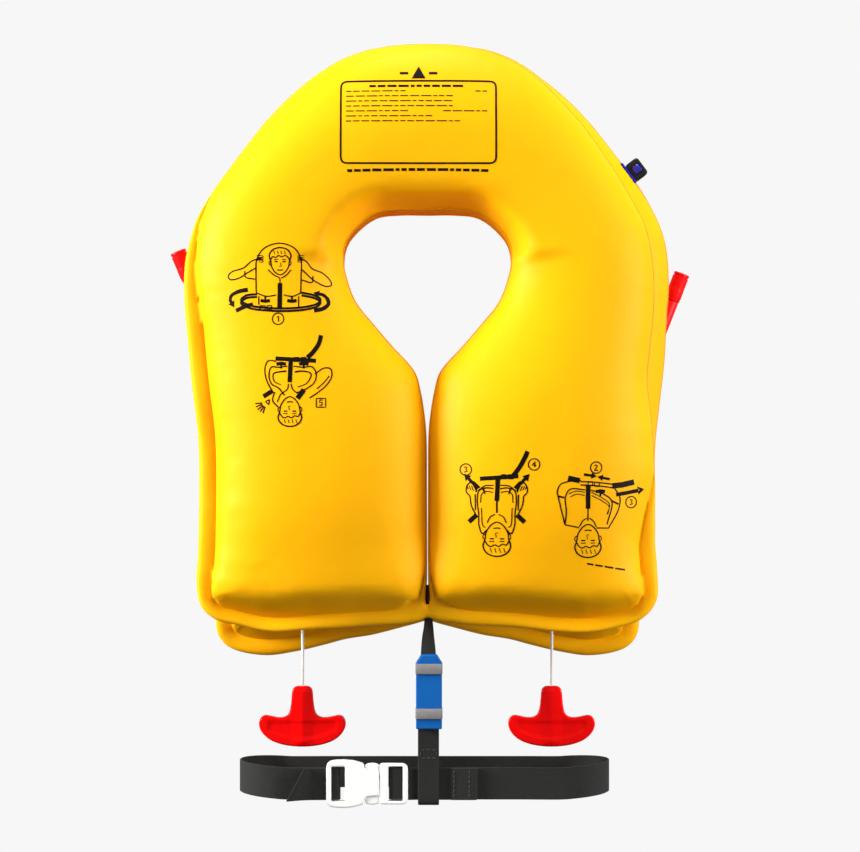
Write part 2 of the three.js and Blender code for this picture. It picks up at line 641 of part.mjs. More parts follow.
// A buckle half's plate between two places along X, with its middle on the belt's.
function bucklePlate(from, to, half, depth, corner) {
  const geometry = plate(roundedRectangle(to - from, 2 * half, corner), depth, 1, 3);
  return solid(geometry.translate((from + to) / 2, BUCKLE_Y, BELT_Z));
}

// A block given by its X range, its half depth and its Z range from the belt's middle.
function buckleBlock(from, to, halfDepth, low, high) {
  return solid(block(
    [from, BUCKLE_Y - halfDepth, BELT_Z + low],
    [to, BUCKLE_Y + halfDepth, BELT_Z + high],
  ));
}

// The bar that the webbing turns round is thinner than the rest of its buckle half.
function thinBar(body, from, to, half) {
  const reach = 8;
  const side = (sign) => {
    const near = BUCKLE_Y + sign * BAR.thickness / 2;
    const far = BUCKLE_Y + sign * reach;
    return solid(block(
      [from, Math.min(near, far), BELT_Z - half],
      [to, Math.max(near, far), BELT_Z + half],
    ));
  };
  return body.subtract(side(-1)).subtract(side(1));
}

function buckle() {
  const slotHalf = WEB_WIDTH / 2 + 0.8;
  const socketHalf = 13.4;
  const notchFrom = FEMALE.to - 12;
  let female = bucklePlate(FEMALE.from, FEMALE.to, FEMALE.half, 10, 5);
  const slot = [FEMALE.from + BAR.width, FEMALE.from + 14.8];
  female = female.subtract(buckleBlock(...slot, 8, -slotHalf, slotHalf));
  female = thinBar(female, FEMALE.from - 1, FEMALE.from + BAR.width + 0.1, slotHalf);
  female = female.subtract(buckleBlock(FEMALE.to - 24.5, FEMALE.to + 1, 3.2, -socketHalf, socketHalf));
  female = female.subtract(buckleBlock(notchFrom, FEMALE.to + 1, 8, socketHalf - 0.1, 30));
  female = female.subtract(buckleBlock(notchFrom, FEMALE.to + 1, 8, -30, -socketHalf + 0.1));
  add(vest, 'buckle_socket', surface(female), 'white', 0.35);
  let male = bucklePlate(MALE.from, MALE.to, MALE.half, 9, 3.5);
  male = male.subtract(buckleBlock(MALE.to - 15.6, MALE.to - BAR.width, 8, -slotHalf, slotHalf));
  male = thinBar(male, MALE.to - BAR.width - 0.1, MALE.to + 1, slotHalf);
  male = male.add(buckleBlock(MALE.from - 18, MALE.from + 3, 2.2, -3.5, 3.5));
  add(vest, 'buckle_plug', surface(male), 'white', 0.35);
  for (const [name, sign] of [['buckle_arm_upper', 1], ['buckle_arm_lower', -1]]) {
    const span = (low, high) => (sign > 0 ? [low, high] : [-high, -low]);
    const arm = buckleBlock(MALE.from - 22, MALE.from - GAP, 2.5, ...span(8.8, 12.2));
    const tab = buckleBlock(MALE.from - 9.5, MALE.from - 3.5, 2.5, ...span(11, 16.4));
    add(vest, name, surface(arm.add(tab)), 'white', 0.35);
  }
}

// ---- assembly ----------------------------------------------------------------------------------

cells();
inflator('left', 1, frontBack, -38);
inflator('right', -1, rearFront, 30);
lanyardAndHandle('left');
lanyardAndHandle('right');
oralTube('left', frontBack, -30, 5);
oralTube('right', rearBack, 60, 89);
light();
centreStrap();
battery();
belt();
buckle();

export default vest;
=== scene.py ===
"""Looks of an inflated twin-cell life vest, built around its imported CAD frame.

Shapes are drawn in millimetres in the CAD frame, and their meshes are made in metres.
"""

import json
import math

import bmesh
import bpy
import numpy as np
from mathutils import Matrix, Vector, geometry, noise
from mathutils.bvhtree import BVHTree


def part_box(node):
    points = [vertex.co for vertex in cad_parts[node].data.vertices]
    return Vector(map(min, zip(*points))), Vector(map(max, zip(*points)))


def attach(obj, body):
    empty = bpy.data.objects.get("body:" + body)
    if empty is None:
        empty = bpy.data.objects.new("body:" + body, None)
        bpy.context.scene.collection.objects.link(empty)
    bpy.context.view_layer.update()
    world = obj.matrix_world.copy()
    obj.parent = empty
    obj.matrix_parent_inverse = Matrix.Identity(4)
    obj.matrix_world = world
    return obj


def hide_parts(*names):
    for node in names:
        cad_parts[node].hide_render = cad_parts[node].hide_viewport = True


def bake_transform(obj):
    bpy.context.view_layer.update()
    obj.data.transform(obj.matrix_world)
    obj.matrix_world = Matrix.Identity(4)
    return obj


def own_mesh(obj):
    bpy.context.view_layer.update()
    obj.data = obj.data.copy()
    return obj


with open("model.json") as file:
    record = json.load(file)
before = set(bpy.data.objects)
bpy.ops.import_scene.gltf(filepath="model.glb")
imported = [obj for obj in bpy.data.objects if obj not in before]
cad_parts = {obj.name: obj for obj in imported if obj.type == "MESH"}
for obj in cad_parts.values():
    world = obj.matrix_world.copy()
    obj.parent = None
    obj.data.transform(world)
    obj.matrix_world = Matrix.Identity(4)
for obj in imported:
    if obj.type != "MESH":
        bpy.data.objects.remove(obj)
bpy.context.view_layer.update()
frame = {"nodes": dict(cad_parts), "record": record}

MM = 0.001
SIDES = ("left", "right")
SEAM_Y = {"front": -45.0, "rear": 45.0}


def node_box(node):
    """A CAD node's lowest and highest corners, in millimetres."""
    low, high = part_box(node)
    return np.array(low) / MM, np.array(high) / MM


# ---- camera ---------------------------------------------------------------------------------

CAMERA_AT = (0.002, -2.2, -0.109)
CAMERA_LENS = 115.1
CAMERA_SENSOR = 36
CAMERA_REACH = 100


def make_camera():
    """A level view from the front, at the height of the vest's middle."""
    data = bpy.data.cameras.new("camera")
    data.lens = CAMERA_LENS
    data.sensor_width = CAMERA_SENSOR
    data.clip_end = CAMERA_REACH
    camera = bpy.data.objects.new("camera", data)
    camera.location = CAMERA_AT
    camera.rotation_euler = (math.pi / 2, 0, 0)
    bpy.context.scene.collection.objects.link(camera)
    bpy.context.scene.camera = camera


make_camera()


# ---- materials ------------------------------------------------------------------------------

WAVE_PITCH = math.pi / 10       # spacing of a wave texture's ridges at a scale of 1
MIX_FIRST, MIX_SECOND, MIX_RESULT = 6, 7, 2     # where a Mix node keeps its colours


class Shader:
    """A Principled material, with short calls to build its nodes."""

    def __init__(self, name, colour, roughness, **sockets):
        self.material = bpy.data.materials.new(name)
        self.material.use_nodes = True
        self.tree = self.material.node_tree
        self.bsdf = self.tree.nodes["Principled BSDF"]
        self.bsdf.inputs["Base Color"].default_value = (*colour, 1)
        self.bsdf.inputs["Roughness"].default_value = roughness
        for socket, value in sockets.items():
            self.bsdf.inputs[socket.replace("_", " ")].default_value = value
        self.colour = colour

    def node(self, kind, inputs=None, **settings):
        """A new node, with its settings, and its inputs set to values or joined to sockets."""
        made = self.tree.nodes.new(kind)
        for key, value in settings.items():
            setattr(made, key, value)
        for key, value in (inputs or {}).items():
            if isinstance(value, bpy.types.NodeSocket):
                self.tree.links.new(value, made.inputs[key])
            else:
                made.inputs[key].default_value = value
        return made

    def place(self, stretch=(1, 1, 1), uv=False):
        """Where a point lies: in the object, or along and across its webbing."""
        source = self.node("ShaderNodeTexCoord").outputs["UV" if uv else "Object"]
        return self.node("ShaderNodeMapping", {"Vector": source, "Scale": stretch}).outputs[0]

    def noise(self, scale, detail=2.0, stretch=(1, 1, 1), uv=False):
        """Cloudy noise, from 0 to 1; a larger scale makes it finer."""
        inputs = {"Vector": self.place(stretch, uv), "Scale": scale, "Detail": detail}
        return self.node("ShaderNodeTexNoise", inputs).outputs["Fac"]

    def bands(self, direction, pitch, uv=False):
        """Even ridges across one axis, with their spacing in metres."""
        inputs = {"Vector": self.place(uv=uv), "Scale": WAVE_PITCH / pitch}
        made = self.node("ShaderNodeTexWave", inputs, bands_direction=direction)
        return made.outputs["Fac"]

    def maths(self, operation, *values):
        made = self.node("ShaderNodeMath", dict(enumerate(values)), operation=operation)
        return made.outputs[0]

    def spread(self, value, low, high):
        """A 0 to 1 value, spread from low to high."""
        inputs = {"Value": value, "To Min": low, "To Max": high}
        return self.node("ShaderNodeMapRange", inputs).outputs[0]

    def tint(self, factor, other):
        """Mixes another colour in, on top of what is there."""
        mix = self.node("ShaderNodeMix", data_type="RGBA")
        self.tree.links.new(factor, mix.inputs[0])
        socket = self.bsdf.inputs["Base Color"]
        if socket.links:
            self.tree.links.new(socket.links[0].from_socket, mix.inputs[MIX_FIRST])
        else:
            mix.inputs[MIX_FIRST].default_value = (*self.colour, 1)
        mix.inputs[MIX_SECOND].default_value = (*other, 1)
        self.tree.links.new(mix.outputs[MIX_RESULT], socket)

    def rough(self, factor, low, high):
        """Roughness that goes from low to high with a factor."""
        self.tree.links.new(self.spread(factor, low, high), self.bsdf.inputs["Roughness"])

    def bump(self, height, distance, strength=1.0):
        """Adds relief whose full height is distance, in metres."""
        inputs = {"Height": height, "Distance": distance, "Strength": strength}
        made = self.node("ShaderNodeBump", inputs)
        socket = self.bsdf.inputs["Normal"]
        if socket.links:
            self.tree.links.new(socket.links[0].from_socket, made.inputs["Normal"])
        self.tree.links.new(made.outputs[0], socket)


THREAD_PITCH = 0.0007           # metres from one thread of the vest's fabric to the next


def coated_fabric(name, colour, shade):
    """Fabric under a smooth coating: a cloudy tint, a faint weave and soft unevenness."""
    made = Shader(name, colour, 0.42, Specular_IOR_Level=0.07)
    made.tint(made.spread(made.noise(9, 3), 0.0, 0.35), shade)
    made.tint(made.spread(made.noise(260, 2), 0.0, 0.10), shade)
    made.rough(made.noise(35, 2), 0.36, 0.50)
    warp, weft = (made.bands(direction, THREAD_PITCH) for direction in ("X", "Z"))
    made.bump(made.maths("MULTIPLY", warp, weft), 0.00004)
    made.bump(made.noise(60, 3), 0.0005)
    return made.material


def woven(name, colour, light, pitch):
    """Webbing: ribs across it, broken by yarns along it, with a painted highlight on their raised tops,
    and paler where it is worn.
    """
    made = Shader(name, colour, 0.78, Sheen_Weight=0.06, Specular_IOR_Level=0.12)
    ribs = made.bands("X", pitch, uv=True)
    yarns = made.bands("Y", pitch * 1.3, uv=True)
    weave = made.maths("MULTIPLY", ribs, yarns)
    # painted highlight: the paler colour is mixed in where the weave stands highest
    made.tint(made.spread(weave, 0.0, 0.3), light)
    made.tint(made.spread(made.noise(45, 3, uv=True), 0.0, 0.25), light)
    made.rough(made.noise(120, 2, uv=True), 0.62, 0.82)
    made.bump(weave, 0.00018)
    made.bump(made.noise(900, 2, uv=True), 0.00005)
    return made.material


def moulded(name, colour, worn, low, high, grain=0.00003, **sockets):
    """Moulded plastic: a faint cloudiness, uneven gloss and a fine grain."""
    made = Shader(name, colour, low, **sockets)
    made.tint(made.spread(made.noise(55, 3), 0.0, 0.3), worn)
    made.rough(made.noise(130, 3), low, high)
    made.bump(made.noise(700, 2), grain)
    made.bump(made.noise(70, 1), grain * 3)
    return made.material


def metal(name, colour, low, high, stretch):
    """Metal that is brushed across its stretched axis."""
    made = Shader(name, colour, low, Metallic=1.0)
    made.tint(made.spread(made.noise(40, 3), 0.0, 0.3), tuple(0.7 * c for c in colour))
    made.rough(made.noise(500, 2, stretch), low, high)
    made.bump(made.noise(800, 2, stretch), 0.00002)
    return made.material


def knitted(name, colour, shade):
    """Elastic: fine ribs that stand upright, with painted shade in the grooves between them and a fleck
    in the yarn.
    """
    made = Shader(name, colour, 0.75, Sheen_Weight=0.2)
    ribs = made.bands("X", 0.0011)
    rows = made.bands("Z", 0.0008)
    # painted shade: the darker colour is mixed in where the ribs' relief is lowest, in the grooves
    made.tint(made.spread(made.maths("MULTIPLY", ribs, rows), 0.35, 0.0), shade)
    made.tint(made.spread(made.noise(900, 2), 0.0, 0.3), shade)
    made.bump(ribs, 0.0001)
    made.bump(rows, 0.00005)
    return made.material


def spun_cord(name, colour, shade):
    """Cord and thread: fine fibres with darker flecks."""
    made = Shader(name, colour, 0.7, Sheen_Weight=0.3)
    made.tint(made.spread(made.noise(2500, 2), 0.0, 0.4), shade)
    made.bump(made.noise(5000, 2), 0.00005)
    return made.material


def printing_ink(name, colour, faded):
    """Ink that has faded a little in places."""
    made = Shader(name, colour, 0.55, Specular_IOR_Level=0.08)
    made.tint(made.spread(made.noise(400, 3), 0.0, 0.4), faded)
    made.rough(made.noise(300, 2), 0.4, 0.6)
    return made.material


VEST_FABRIC = coated_fabric("vest_fabric_yellow", (0.95, 0.45, 0.002), (0.9, 0.40, 0.0015))
WEBBING = woven("webbing_charcoal", (0.0155, 0.0155, 0.0148), (0.034, 0.034, 0.032), 0.0012)
THREAD = spun_cord("thread_grey", (0.028, 0.028, 0.027), (0.012, 0.012, 0.012))
CORD = spun_cord("cord_white", (0.86, 0.85, 0.82), (0.6, 0.58, 0.54))
RED = moulded("plastic_red", (0.9, 0.0003, 0.0003), (0.8, 0.0, 0.0003), 0.2, 0.3,
              Coat_Weight=0.12, Coat_Roughness=0.06, Specular_IOR_Level=0.06)
RED_SOFT = moulded("tube_red", (0.86, 0.0006, 0.0006), (0.66, 0.0, 0.0005), 0.32, 0.5,
                   Specular_IOR_Level=0.15)
WHITE = moulded("plastic_white", (0.9, 0.89, 0.86), (0.84, 0.81, 0.75), 0.3, 0.45)
BLUE = moulded("plastic_blue", (0.0055, 0.105, 0.38), (0.005, 0.085, 0.32), 0.4, 0.55,
               Specular_IOR_Level=0.1)
BLUE_DEEP = moulded("plastic_blue_deep", (0.01, 0.02, 0.5), (0.01, 0.015, 0.4), 0.35, 0.5,
                    Specular_IOR_Level=0.1)
BLACK = moulded("plastic_black", (0.006, 0.006, 0.006), (0.014, 0.014, 0.015), 0.3, 0.5, 0.00006,
                Specular_IOR_Level=0.3)
RUBBER = moulded("rubber_black", (0.022, 0.022, 0.022), (0.05, 0.048, 0.045), 0.55, 0.75, 0.00008)
FLANGE = moulded("flange_yellow", (0.92, 0.42, 0.005), (0.8, 0.34, 0.004), 0.4, 0.55, 0.00006)
GREY_BAND = knitted("elastic_grey", (0.225, 0.21, 0.205), (0.16, 0.15, 0.148))
STEEL = metal("steel_bright", (0.6, 0.6, 0.61), 0.2, 0.38, (1, 12, 12))
NICKEL = metal("nickel_plate", (0.7, 0.68, 0.64), 0.12, 0.3, (12, 12, 1))
INK = printing_ink("printing_ink", (0.002, 0.002, 0.002), (0.02, 0.013, 0.003))


def glass_blue():
    """A lamp's lens, with fine ridges across it."""
    made = Shader("lens_blue", (0.012, 0.01, 0.42), 0.15, Coat_Weight=0.3)
    ridge_pitch = 0.0015
    made.tint(made.spread(made.bands("Z", ridge_pitch), 0.0, 0.5), (0.01, 0.008, 0.28))
    made.bump(made.bands("Z", ridge_pitch), 0.0002)
    return made.material


LENS = glass_blue()


NODE_BODY = {node: body for body, nodes in frame["record"]["behaviour"]["bodies"].items()
             for node in nodes}
NODE_SLOT = {part["node"]: part["material_slot"] for part in frame["record"]["subparts"]}


def dress(obj, material, *nodes, body=None, slot=None):
    """Gives a piece its material and the body of the CAD nodes it stands for, and hides those nodes;
    slot is not used.
    """
    obj.data.materials.clear()
    obj.data.materials.append(material)
    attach(obj, body or NODE_BODY[nodes[0]])
    if nodes:
        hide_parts(*nodes)
    return obj


# ---- outlines and meshes --------------------------------------------------------------------

CORNER_STEPS = (0, 0.25, 0.5, 0.75, 1)
POINTS_AT_ONCE = 1500           # how many points are measured against a loop together


def run_along(line):
    """How far each point of a line is from its start."""
    return np.concatenate([[0], np.cumsum(np.linalg.norm(np.diff(line, axis=0), axis=1))])


def axes_along(direction):
    """Unit vectors along a direction and across it, both ways."""
    forward = Vector(direction).normalized()
    side = forward.orthogonal().normalized()
    return forward, side, forward.cross(side)


def rounded_corner(before, corner, after, radius):
    """The points that round a corner off, as far as radius from it where its sides allow."""
    a, c, b = Vector(before), Vector(corner), Vector(after)
    reach = min(radius, (a - c).length / 2.01, (b - c).length / 2.01)
    p, q = c + (a - c).normalized() * reach, c + (b - c).normalized() * reach
    return [tuple((1 - t) ** 2 * p + 2 * t * (1 - t) * c + t * t * q) for t in CORNER_STEPS]


def smooth_line(points, step, closed=False):
    """Evenly spaced points on a smooth curve through the given ones."""
    given = np.array(points, float)
    if closed:
        given = np.vstack([given[-1], given, given[:2]])
    else:
        given = np.vstack([2 * given[0] - given[1], given, 2 * given[-1] - given[-2]])
    dense = []
    for p0, p1, p2, p3 in zip(given, given[1:], given[2:], given[3:]):
        knots = np.cumsum([0] + [np.linalg.norm(b - a) ** 0.5
                                 for a, b in ((p0, p1), (p1, p2), (p2, p3))])
        t = np.linspace(knots[1], knots[2], 24, endpoint=False)[:, None]

        def between(a, b, i, j):
            return ((knots[j] - t) * a + (t - knots[i]) * b) / (knots[j] - knots[i])

        a1, a2, a3 = between(p0, p1, 0, 1), between(p1, p2, 1, 2), between(p2, p3, 2, 3)
        b1, b2 = between(a1, a2, 0, 2), between(a2, a3, 1, 3)
        dense.append(between(b1, b2, 1, 2))
    dense.append(given[-2][None])
    dense = np.vstack(dense)
    run = run_along(dense)
    count = max(2, round(run[-1] / step))
    places = np.linspace(0, run[-1], count + 1)
    line = np.column_stack([np.interp(places, run, dense[:, k]) for k in range(dense.shape[1])])
    return line[:-1] if closed else line


def edge_distance(points, loop):
    """Each point's distance to a closed loop, and its place along it, counted in corners."""
    after = np.roll(loop, -1, 0) - loop
    length2 = (after ** 2).sum(1)
    distances, places = [], []
    for chunk in np.array_split(points, max(1, len(points) // POINTS_AT_ONCE)):
        offset = chunk[:, None] - loop[None]
        t = np.clip((offset * after).sum(2) / length2, 0, 1)
        gap = np.linalg.norm(offset - t[..., None] * after, axis=2)
        nearest = gap.argmin(1)
        rows = np.arange(len(chunk))
        distances.append(gap[rows, nearest])
        places.append(nearest + t[rows, nearest])
    return np.concatenate(distances), np.concatenate(places)


def inside(points, loop):
    """Whether each point is inside a closed loop."""
    x, z = points[:, :1], points[:, 1:]
    ax, az = loop.T
    bx, bz = np.roll(loop, -1, 0).T
    crosses = (az > z) != (bz > z)
    level = np.where(az == bz, 1.0, bz - az)
    return (crosses & (x < ax + (z - az) * (bx - ax) / level)).sum(1) % 2 == 1


def inward(loop):
    """Unit vectors that point into a loop that runs anticlockwise."""
    along = np.roll(loop, -1, 0) - np.roll(loop, 1, 0)
    along /= np.linalg.norm(along, axis=1)[:, None]
    return np.column_stack([-along[:, 1], along[:, 0]])


def anticlockwise(loop):
    """The same loop, turned round if it runs clockwise."""
    x, z = loop.T
    area = (x * np.roll(z, -1) - np.roll(x, -1) * z).sum()
    return loop if area > 0 else loop[::-1]


def lattice(low, high, step):
    """A honeycomb of points over a box."""
    rows = []
    height = step * math.sqrt(3) / 2
    for i, z in enumerate(np.arange(low[1], high[1], height)):
        x = np.arange(low[0] + (i % 2) * step / 2, high[0], step)
        rows.append(np.column_stack([x, np.full(len(x), z)]))
    return np.vstack(rows)


class Sheet:
    """A flat outline with holes, filled with triangles that follow its edges closely.

    widths[k] is the rim's width along loop k, one value per corner; rings are the depths where
    rows of points follow the edge: below 1 they are shares of the rim, above it millimetres more.
    """

    def __init__(self, outer, holes, widths, rings, step):
        self.loops = [anticlockwise(outer)] + [anticlockwise(hole) for hole in holes]
        self.widths = widths
        self.step = step
        candidates = []
        for k, loop in enumerate(self.loops):
            normal = inward(loop) * (1 if k == 0 else -1)
            for ring in rings:
                share, beyond = min(ring, 1), max(0, ring - 1)
                points = loop + normal * (widths[k] * share + beyond)[:, None]
                amiss = np.abs(self.depth(points) - (share + beyond))
                candidates.append(points[amiss < 0.03 * max(1, ring) + 0.02])
        grid = lattice(outer.min(0), outer.max(0), step)
        deep = self.depth(grid) > rings[-1] + 0.75 * step
        candidates.append(grid[self.within(grid) & deep])
        points = np.vstack([*self.loops, *candidates])
        self.points, self.triangles = self.fill(points)
        self.rim = sum(len(loop) for loop in self.loops)
        self.edge = self.depth(self.points)

    def within(self, points):
        """Whether each point is inside the outline and outside its holes."""
        found = inside(points, self.loops[0])
        for hole in self.loops[1:]:
            found &= ~inside(points, hole)
        return found

    def depth(self, points):
        """0 at the edge, 1 where the rim ends, and one more for each millimetre further in."""
        best = np.full(len(points), np.inf)
        for loop, width in zip(self.loops, self.widths):
            gap, place = edge_distance(points, loop)
            here = place.astype(int) % len(loop)
            wide = width[here] + (width[(here + 1) % len(loop)] - width[here]) * (place % 1)
            best = np.minimum(best, np.where(gap < wide, gap / wide, 1 + gap - wide))
        return best

    def fill(self, points):
        """The points again, and the triangles between them that keep to the loops."""
        edges, first = [], 0
        for loop in self.loops:
            corners = list(range(first, first + len(loop)))
            edges += list(zip(corners, corners[1:] + corners[:1]))
            first += len(loop)
        made = geometry.delaunay_2d_cdt([Vector(p) for p in points], edges, [], 0, 1e-6)
        spots = np.array([tuple(v) for v in made[0]])
        triangles = np.array([f for f in made[2] if len(f) == 3])
        return spots, triangles[self.within(spots[triangles].mean(1))]

    def membrane(self, free):
        """The height of a film under even pressure, held down where free is false."""
        p, t = self.points, self.triangles
        sides = [p[t[:, (k + 2) % 3]] - p[t[:, (k + 1) % 3]] for k in range(3)]
        area = np.abs(sides[0][:, 0] * sides[1][:, 1] - sides[0][:, 1] * sides[1][:, 0]) / 2
        area = np.maximum(area, 1e-9)
        rows = np.concatenate([t[:, i] for i in range(3) for _ in range(3)])
        columns = np.concatenate([t[:, j] for _ in range(3) for j in range(3)])
        stiffness = np.concatenate([(sides[i] * sides[j]).sum(1) / (4 * area)
                                    for i in range(3) for j in range(3)])
        keep = free[rows] & free[columns]
        rows, columns, stiffness = rows[keep], columns[keep], stiffness[keep]
        n = len(p)
        most_rounds, close_enough = 900, 1e-12
        load = np.bincount(t.ravel(), np.repeat(area / 3, 3), n) * free
        own = rows == columns
        diagonal = np.maximum(np.bincount(rows[own], stiffness[own], n), 1e-9)

        height = np.zeros(n)
        residual = load.copy()
        scaled = residual / diagonal
        direction = scaled.copy()
        energy = residual @ scaled
        for _ in range(most_rounds):
            pushed = np.bincount(rows, stiffness * direction[columns], n)
            share = energy / (direction @ pushed)
            height += share * direction
            residual -= share * pushed
            scaled = residual / diagonal
            fresh = residual @ scaled
            if fresh < close_enough * (load @ load):
                break
            direction = scaled + fresh / energy * direction
            energy = fresh
        return height

    def solid(self, name, front, back):
        """A closed mesh from the two heights, as Y, of every point; they meet at the rim."""
        n = len(self.points)
        x, z = self.points.T
        back_index = np.arange(n)
        inner = np.arange(self.rim, n)
        back_index[inner] = n + np.arange(len(inner))
        vertices = np.vstack([
            np.column_stack([x, front, z]),
            np.column_stack([x[inner], back[inner], z[inner]]),
        ]) * MM
        forward = self.outward(self.triangles)
        faces = np.vstack([forward, back_index[forward[:, ::-1]]])
        return mesh_object(name, vertices, faces)

    def outward(self, triangles):
        """The triangles, all turned the same way."""
        a, b, c = (self.points[triangles[:, k]] for k in range(3))
        turn = (b[:, 0] - a[:, 0]) * (c[:, 1] - a[:, 1]) - (b[:, 1] - a[:, 1]) * (c[:, 0] - a[:, 0])
        return np.where((turn > 0)[:, None], triangles, triangles[:, ::-1])


def mesh_object(name, vertices, faces, smooth=True):
    """An object from corners in metres and faces."""
    mesh = bpy.data.meshes.new(name)
    mesh.from_pydata([tuple(v) for v in np.asarray(vertices, float)], [],
                     [tuple(int(i) for i in f) for f in faces])
    mesh.update()
    obj = bpy.data.objects.new(name, mesh)
    bpy.context.scene.collection.objects.link(obj)
    if smooth:
        mesh.shade_smooth()
    return obj


def sharpened(obj, angle=38):
    """Smooth shading that stops at edges sharper than an angle in degrees."""
    obj.data.shade_smooth()
    obj.data.set_sharp_from_angle(angle=math.radians(angle))
    return obj


def faced_outward(obj, weld=0.0):
    """Turns the faces outward, after joining corners less than weld apart, in metres."""
    mesh = bmesh.new()
    mesh.from_mesh(obj.data)
    if weld:
        bmesh.ops.remove_doubles(mesh, verts=mesh.verts, dist=weld)
    bmesh.ops.recalc_face_normals(mesh, faces=mesh.faces)
    mesh.to_mesh(obj.data)
    mesh.free()
    return obj


def skin(rings, n, first=0, capped=True):
    """Faces between rings of n points each, from point number first, with a cap at both ends."""
    faces = []
    for ring in range(rings - 1):
        for k in range(n):
            a, b = first + ring * n + k, first + ring * n + (k + 1) % n
            faces.append((a, b, b + n, a + n))
    if capped:
        faces.append(range(first + n - 1, first - 1, -1))
        faces.append(range(first + (rings - 1) * n, first + rings * n))
    return faces


def wander(values, scale, seed):
    """Smooth noise from -1 to 1 along a run of numbers."""
    return np.array([noise.noise(Vector((v / scale, seed, 0.37))) for v in values])


def tube_mesh(name, line, radius, sides, ripple=None):
    """A tube along a line of points; ripple(run, angle) scales its radius."""
    line = np.asarray(line, float)
    run = run_along(line)
    along = np.gradient(line, axis=0)
    vertices = []
    lies_along_x = abs(along[0][0]) >= 0.9 * np.linalg.norm(along[0])
    side = Vector((0, 1, 0)) if lies_along_x else Vector((1, 0, 0))
    for i, (point, direction) in enumerate(zip(line, along)):
        forward = Vector(direction).normalized()
        side = (side - forward * side.dot(forward)).normalized()
        up = forward.cross(side)
        for k in range(sides):
            angle = 2 * math.pi * k / sides
            r = radius * (ripple(run[i], angle) if ripple else 1)
            vertices.append(Vector(point) + side * (r * math.cos(angle)) + up * (r * math.sin(angle)))
    return mesh_object(name, np.array(vertices) * MM, skin(len(line), sides))


def turned(name, profile, start, direction, sides=48):
    """A turned piece: profile of [radius, distance along direction from start]."""
    forward, side, up = axes_along(direction)
    vertices = []
    for radius, run in profile:
        for k in range(sides):
            angle = 2 * math.pi * k / sides
            spoke = side * (radius * math.cos(angle)) + up * (radius * math.sin(angle))
            vertices.append(Vector(start) + forward * run + spoke)
    obj = mesh_object(name, np.array(vertices) * MM, skin(len(profile), sides, capped=False))
    return sharpened(faced_outward(obj, weld=1e-7))


def polygon(corners, radius, step):
    """A polygon with rounded corners, as evenly spaced points."""
    line = []
    for i, corner in enumerate(corners):
        line += rounded_corner(corners[i - 1], corner, corners[(i + 1) % len(corners)], radius)
    points = []
    for a, b in zip(line, line[1:] + line[:1]):
        count = max(1, round((Vector(b) - Vector(a)).length / step))
        points += [tuple(p) for p in np.linspace(a, b, count, endpoint=False)]
    points = np.array(points)
    gaps = np.linalg.norm(points - np.roll(points, 1, 0), axis=1)
    return points[gaps > 1e-4]


def rounded_copy(name, node, material, width=0.8, segments=3, shift=(0, 0, 0), scale=1.0):
    """A CAD piece with its edges rounded, which stands for it."""
    flat, sharp = math.radians(2), 0.5
    mesh = bmesh.new()
    mesh.from_mesh(frame["nodes"][node].data)
    centre = sum((vertex.co for vertex in mesh.verts), Vector()) / len(mesh.verts)
    bmesh.ops.scale(mesh, verts=mesh.verts, vec=(scale,) * 3, space=Matrix.Translation(-centre))
    bmesh.ops.translate(mesh, verts=mesh.verts, vec=Vector(shift) * MM)
    bmesh.ops.remove_doubles(mesh, verts=mesh.verts, dist=1e-6)
    bmesh.ops.dissolve_limit(mesh, angle_limit=flat, verts=mesh.verts, edges=mesh.edges)
    edges = [e for e in mesh.edges if len(e.link_faces) == 2 and e.calc_face_angle() > sharp]
    bmesh.ops.bevel(mesh, geom=edges, offset=width * MM, offset_type="OFFSET", segments=segments,
                    profile=0.5, affect="EDGES", clamp_overlap=True)
    bmesh.ops.triangulate(mesh, faces=[f for f in mesh.faces if len(f.verts) > 4])
    data = bpy.data.meshes.new(name)
    mesh.to_mesh(data)
    mesh.free()
    obj = bpy.data.objects.new(name, data)
    bpy.context.scene.collection.objects.link(obj)
    return dress(sharpened(obj), material, node)


SPRING_WIRE = 0.45              # the wire's radius
SPRING_RUN = 4.6
SPRING_TURNS = 3


def make_spring(node, joint, start, direction, radius, keep):
    """A small coil spring from start along direction, of the given radius; joint and keep are not used.
    """
    wire, run, turns = SPRING_WIRE, SPRING_RUN, SPRING_TURNS
    forward, side, up = axes_along(direction)
    line = []
    for t in np.linspace(0, 1, turns * 20 + 1):
        angle = 2 * math.pi * turns * t
        spoke = side * math.cos(angle) + up * math.sin(angle)
        line.append(Vector(start) + forward * (wire + run * t) + spoke * radius)
    spring = dress(tube_mesh(f"{node}_coil", line, wire, 8), STEEL, node)
    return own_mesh(spring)


# ---- lanyards ---------------------------------------------------------------------------------

LANYARD_RADIUS = 1.2
LANYARD_SWAY = 0.25
STRAND_TWIST = 9                # millimetres in which a strand goes once round the cord


def make_lanyard(side):
    """Three-strand cord, from the inflator's lever down to its handle."""
    node = f"lanyard_{side}"
    low, high = node_box(node)
    x, y = (low[:2] + high[:2]) / 2
    line = [(x + LANYARD_SWAY * math.sin(math.pi * t), y, high[2] + t * (low[2] - high[2]))
            for t in np.linspace(0, 1, 70)]

    def strands(run, angle):
        return 0.88 + 0.12 * abs(math.cos(1.5 * (angle - run * 2 * math.pi / STRAND_TWIST)))

    obj = tube_mesh(f"{node}_cord", line, LANYARD_RADIUS, 24, strands)
    dress(obj, CORD, node)


for lanyard_side in SIDES:
    make_lanyard(lanyard_side)


# ---- the two cells --------------------------------------------------------------------------

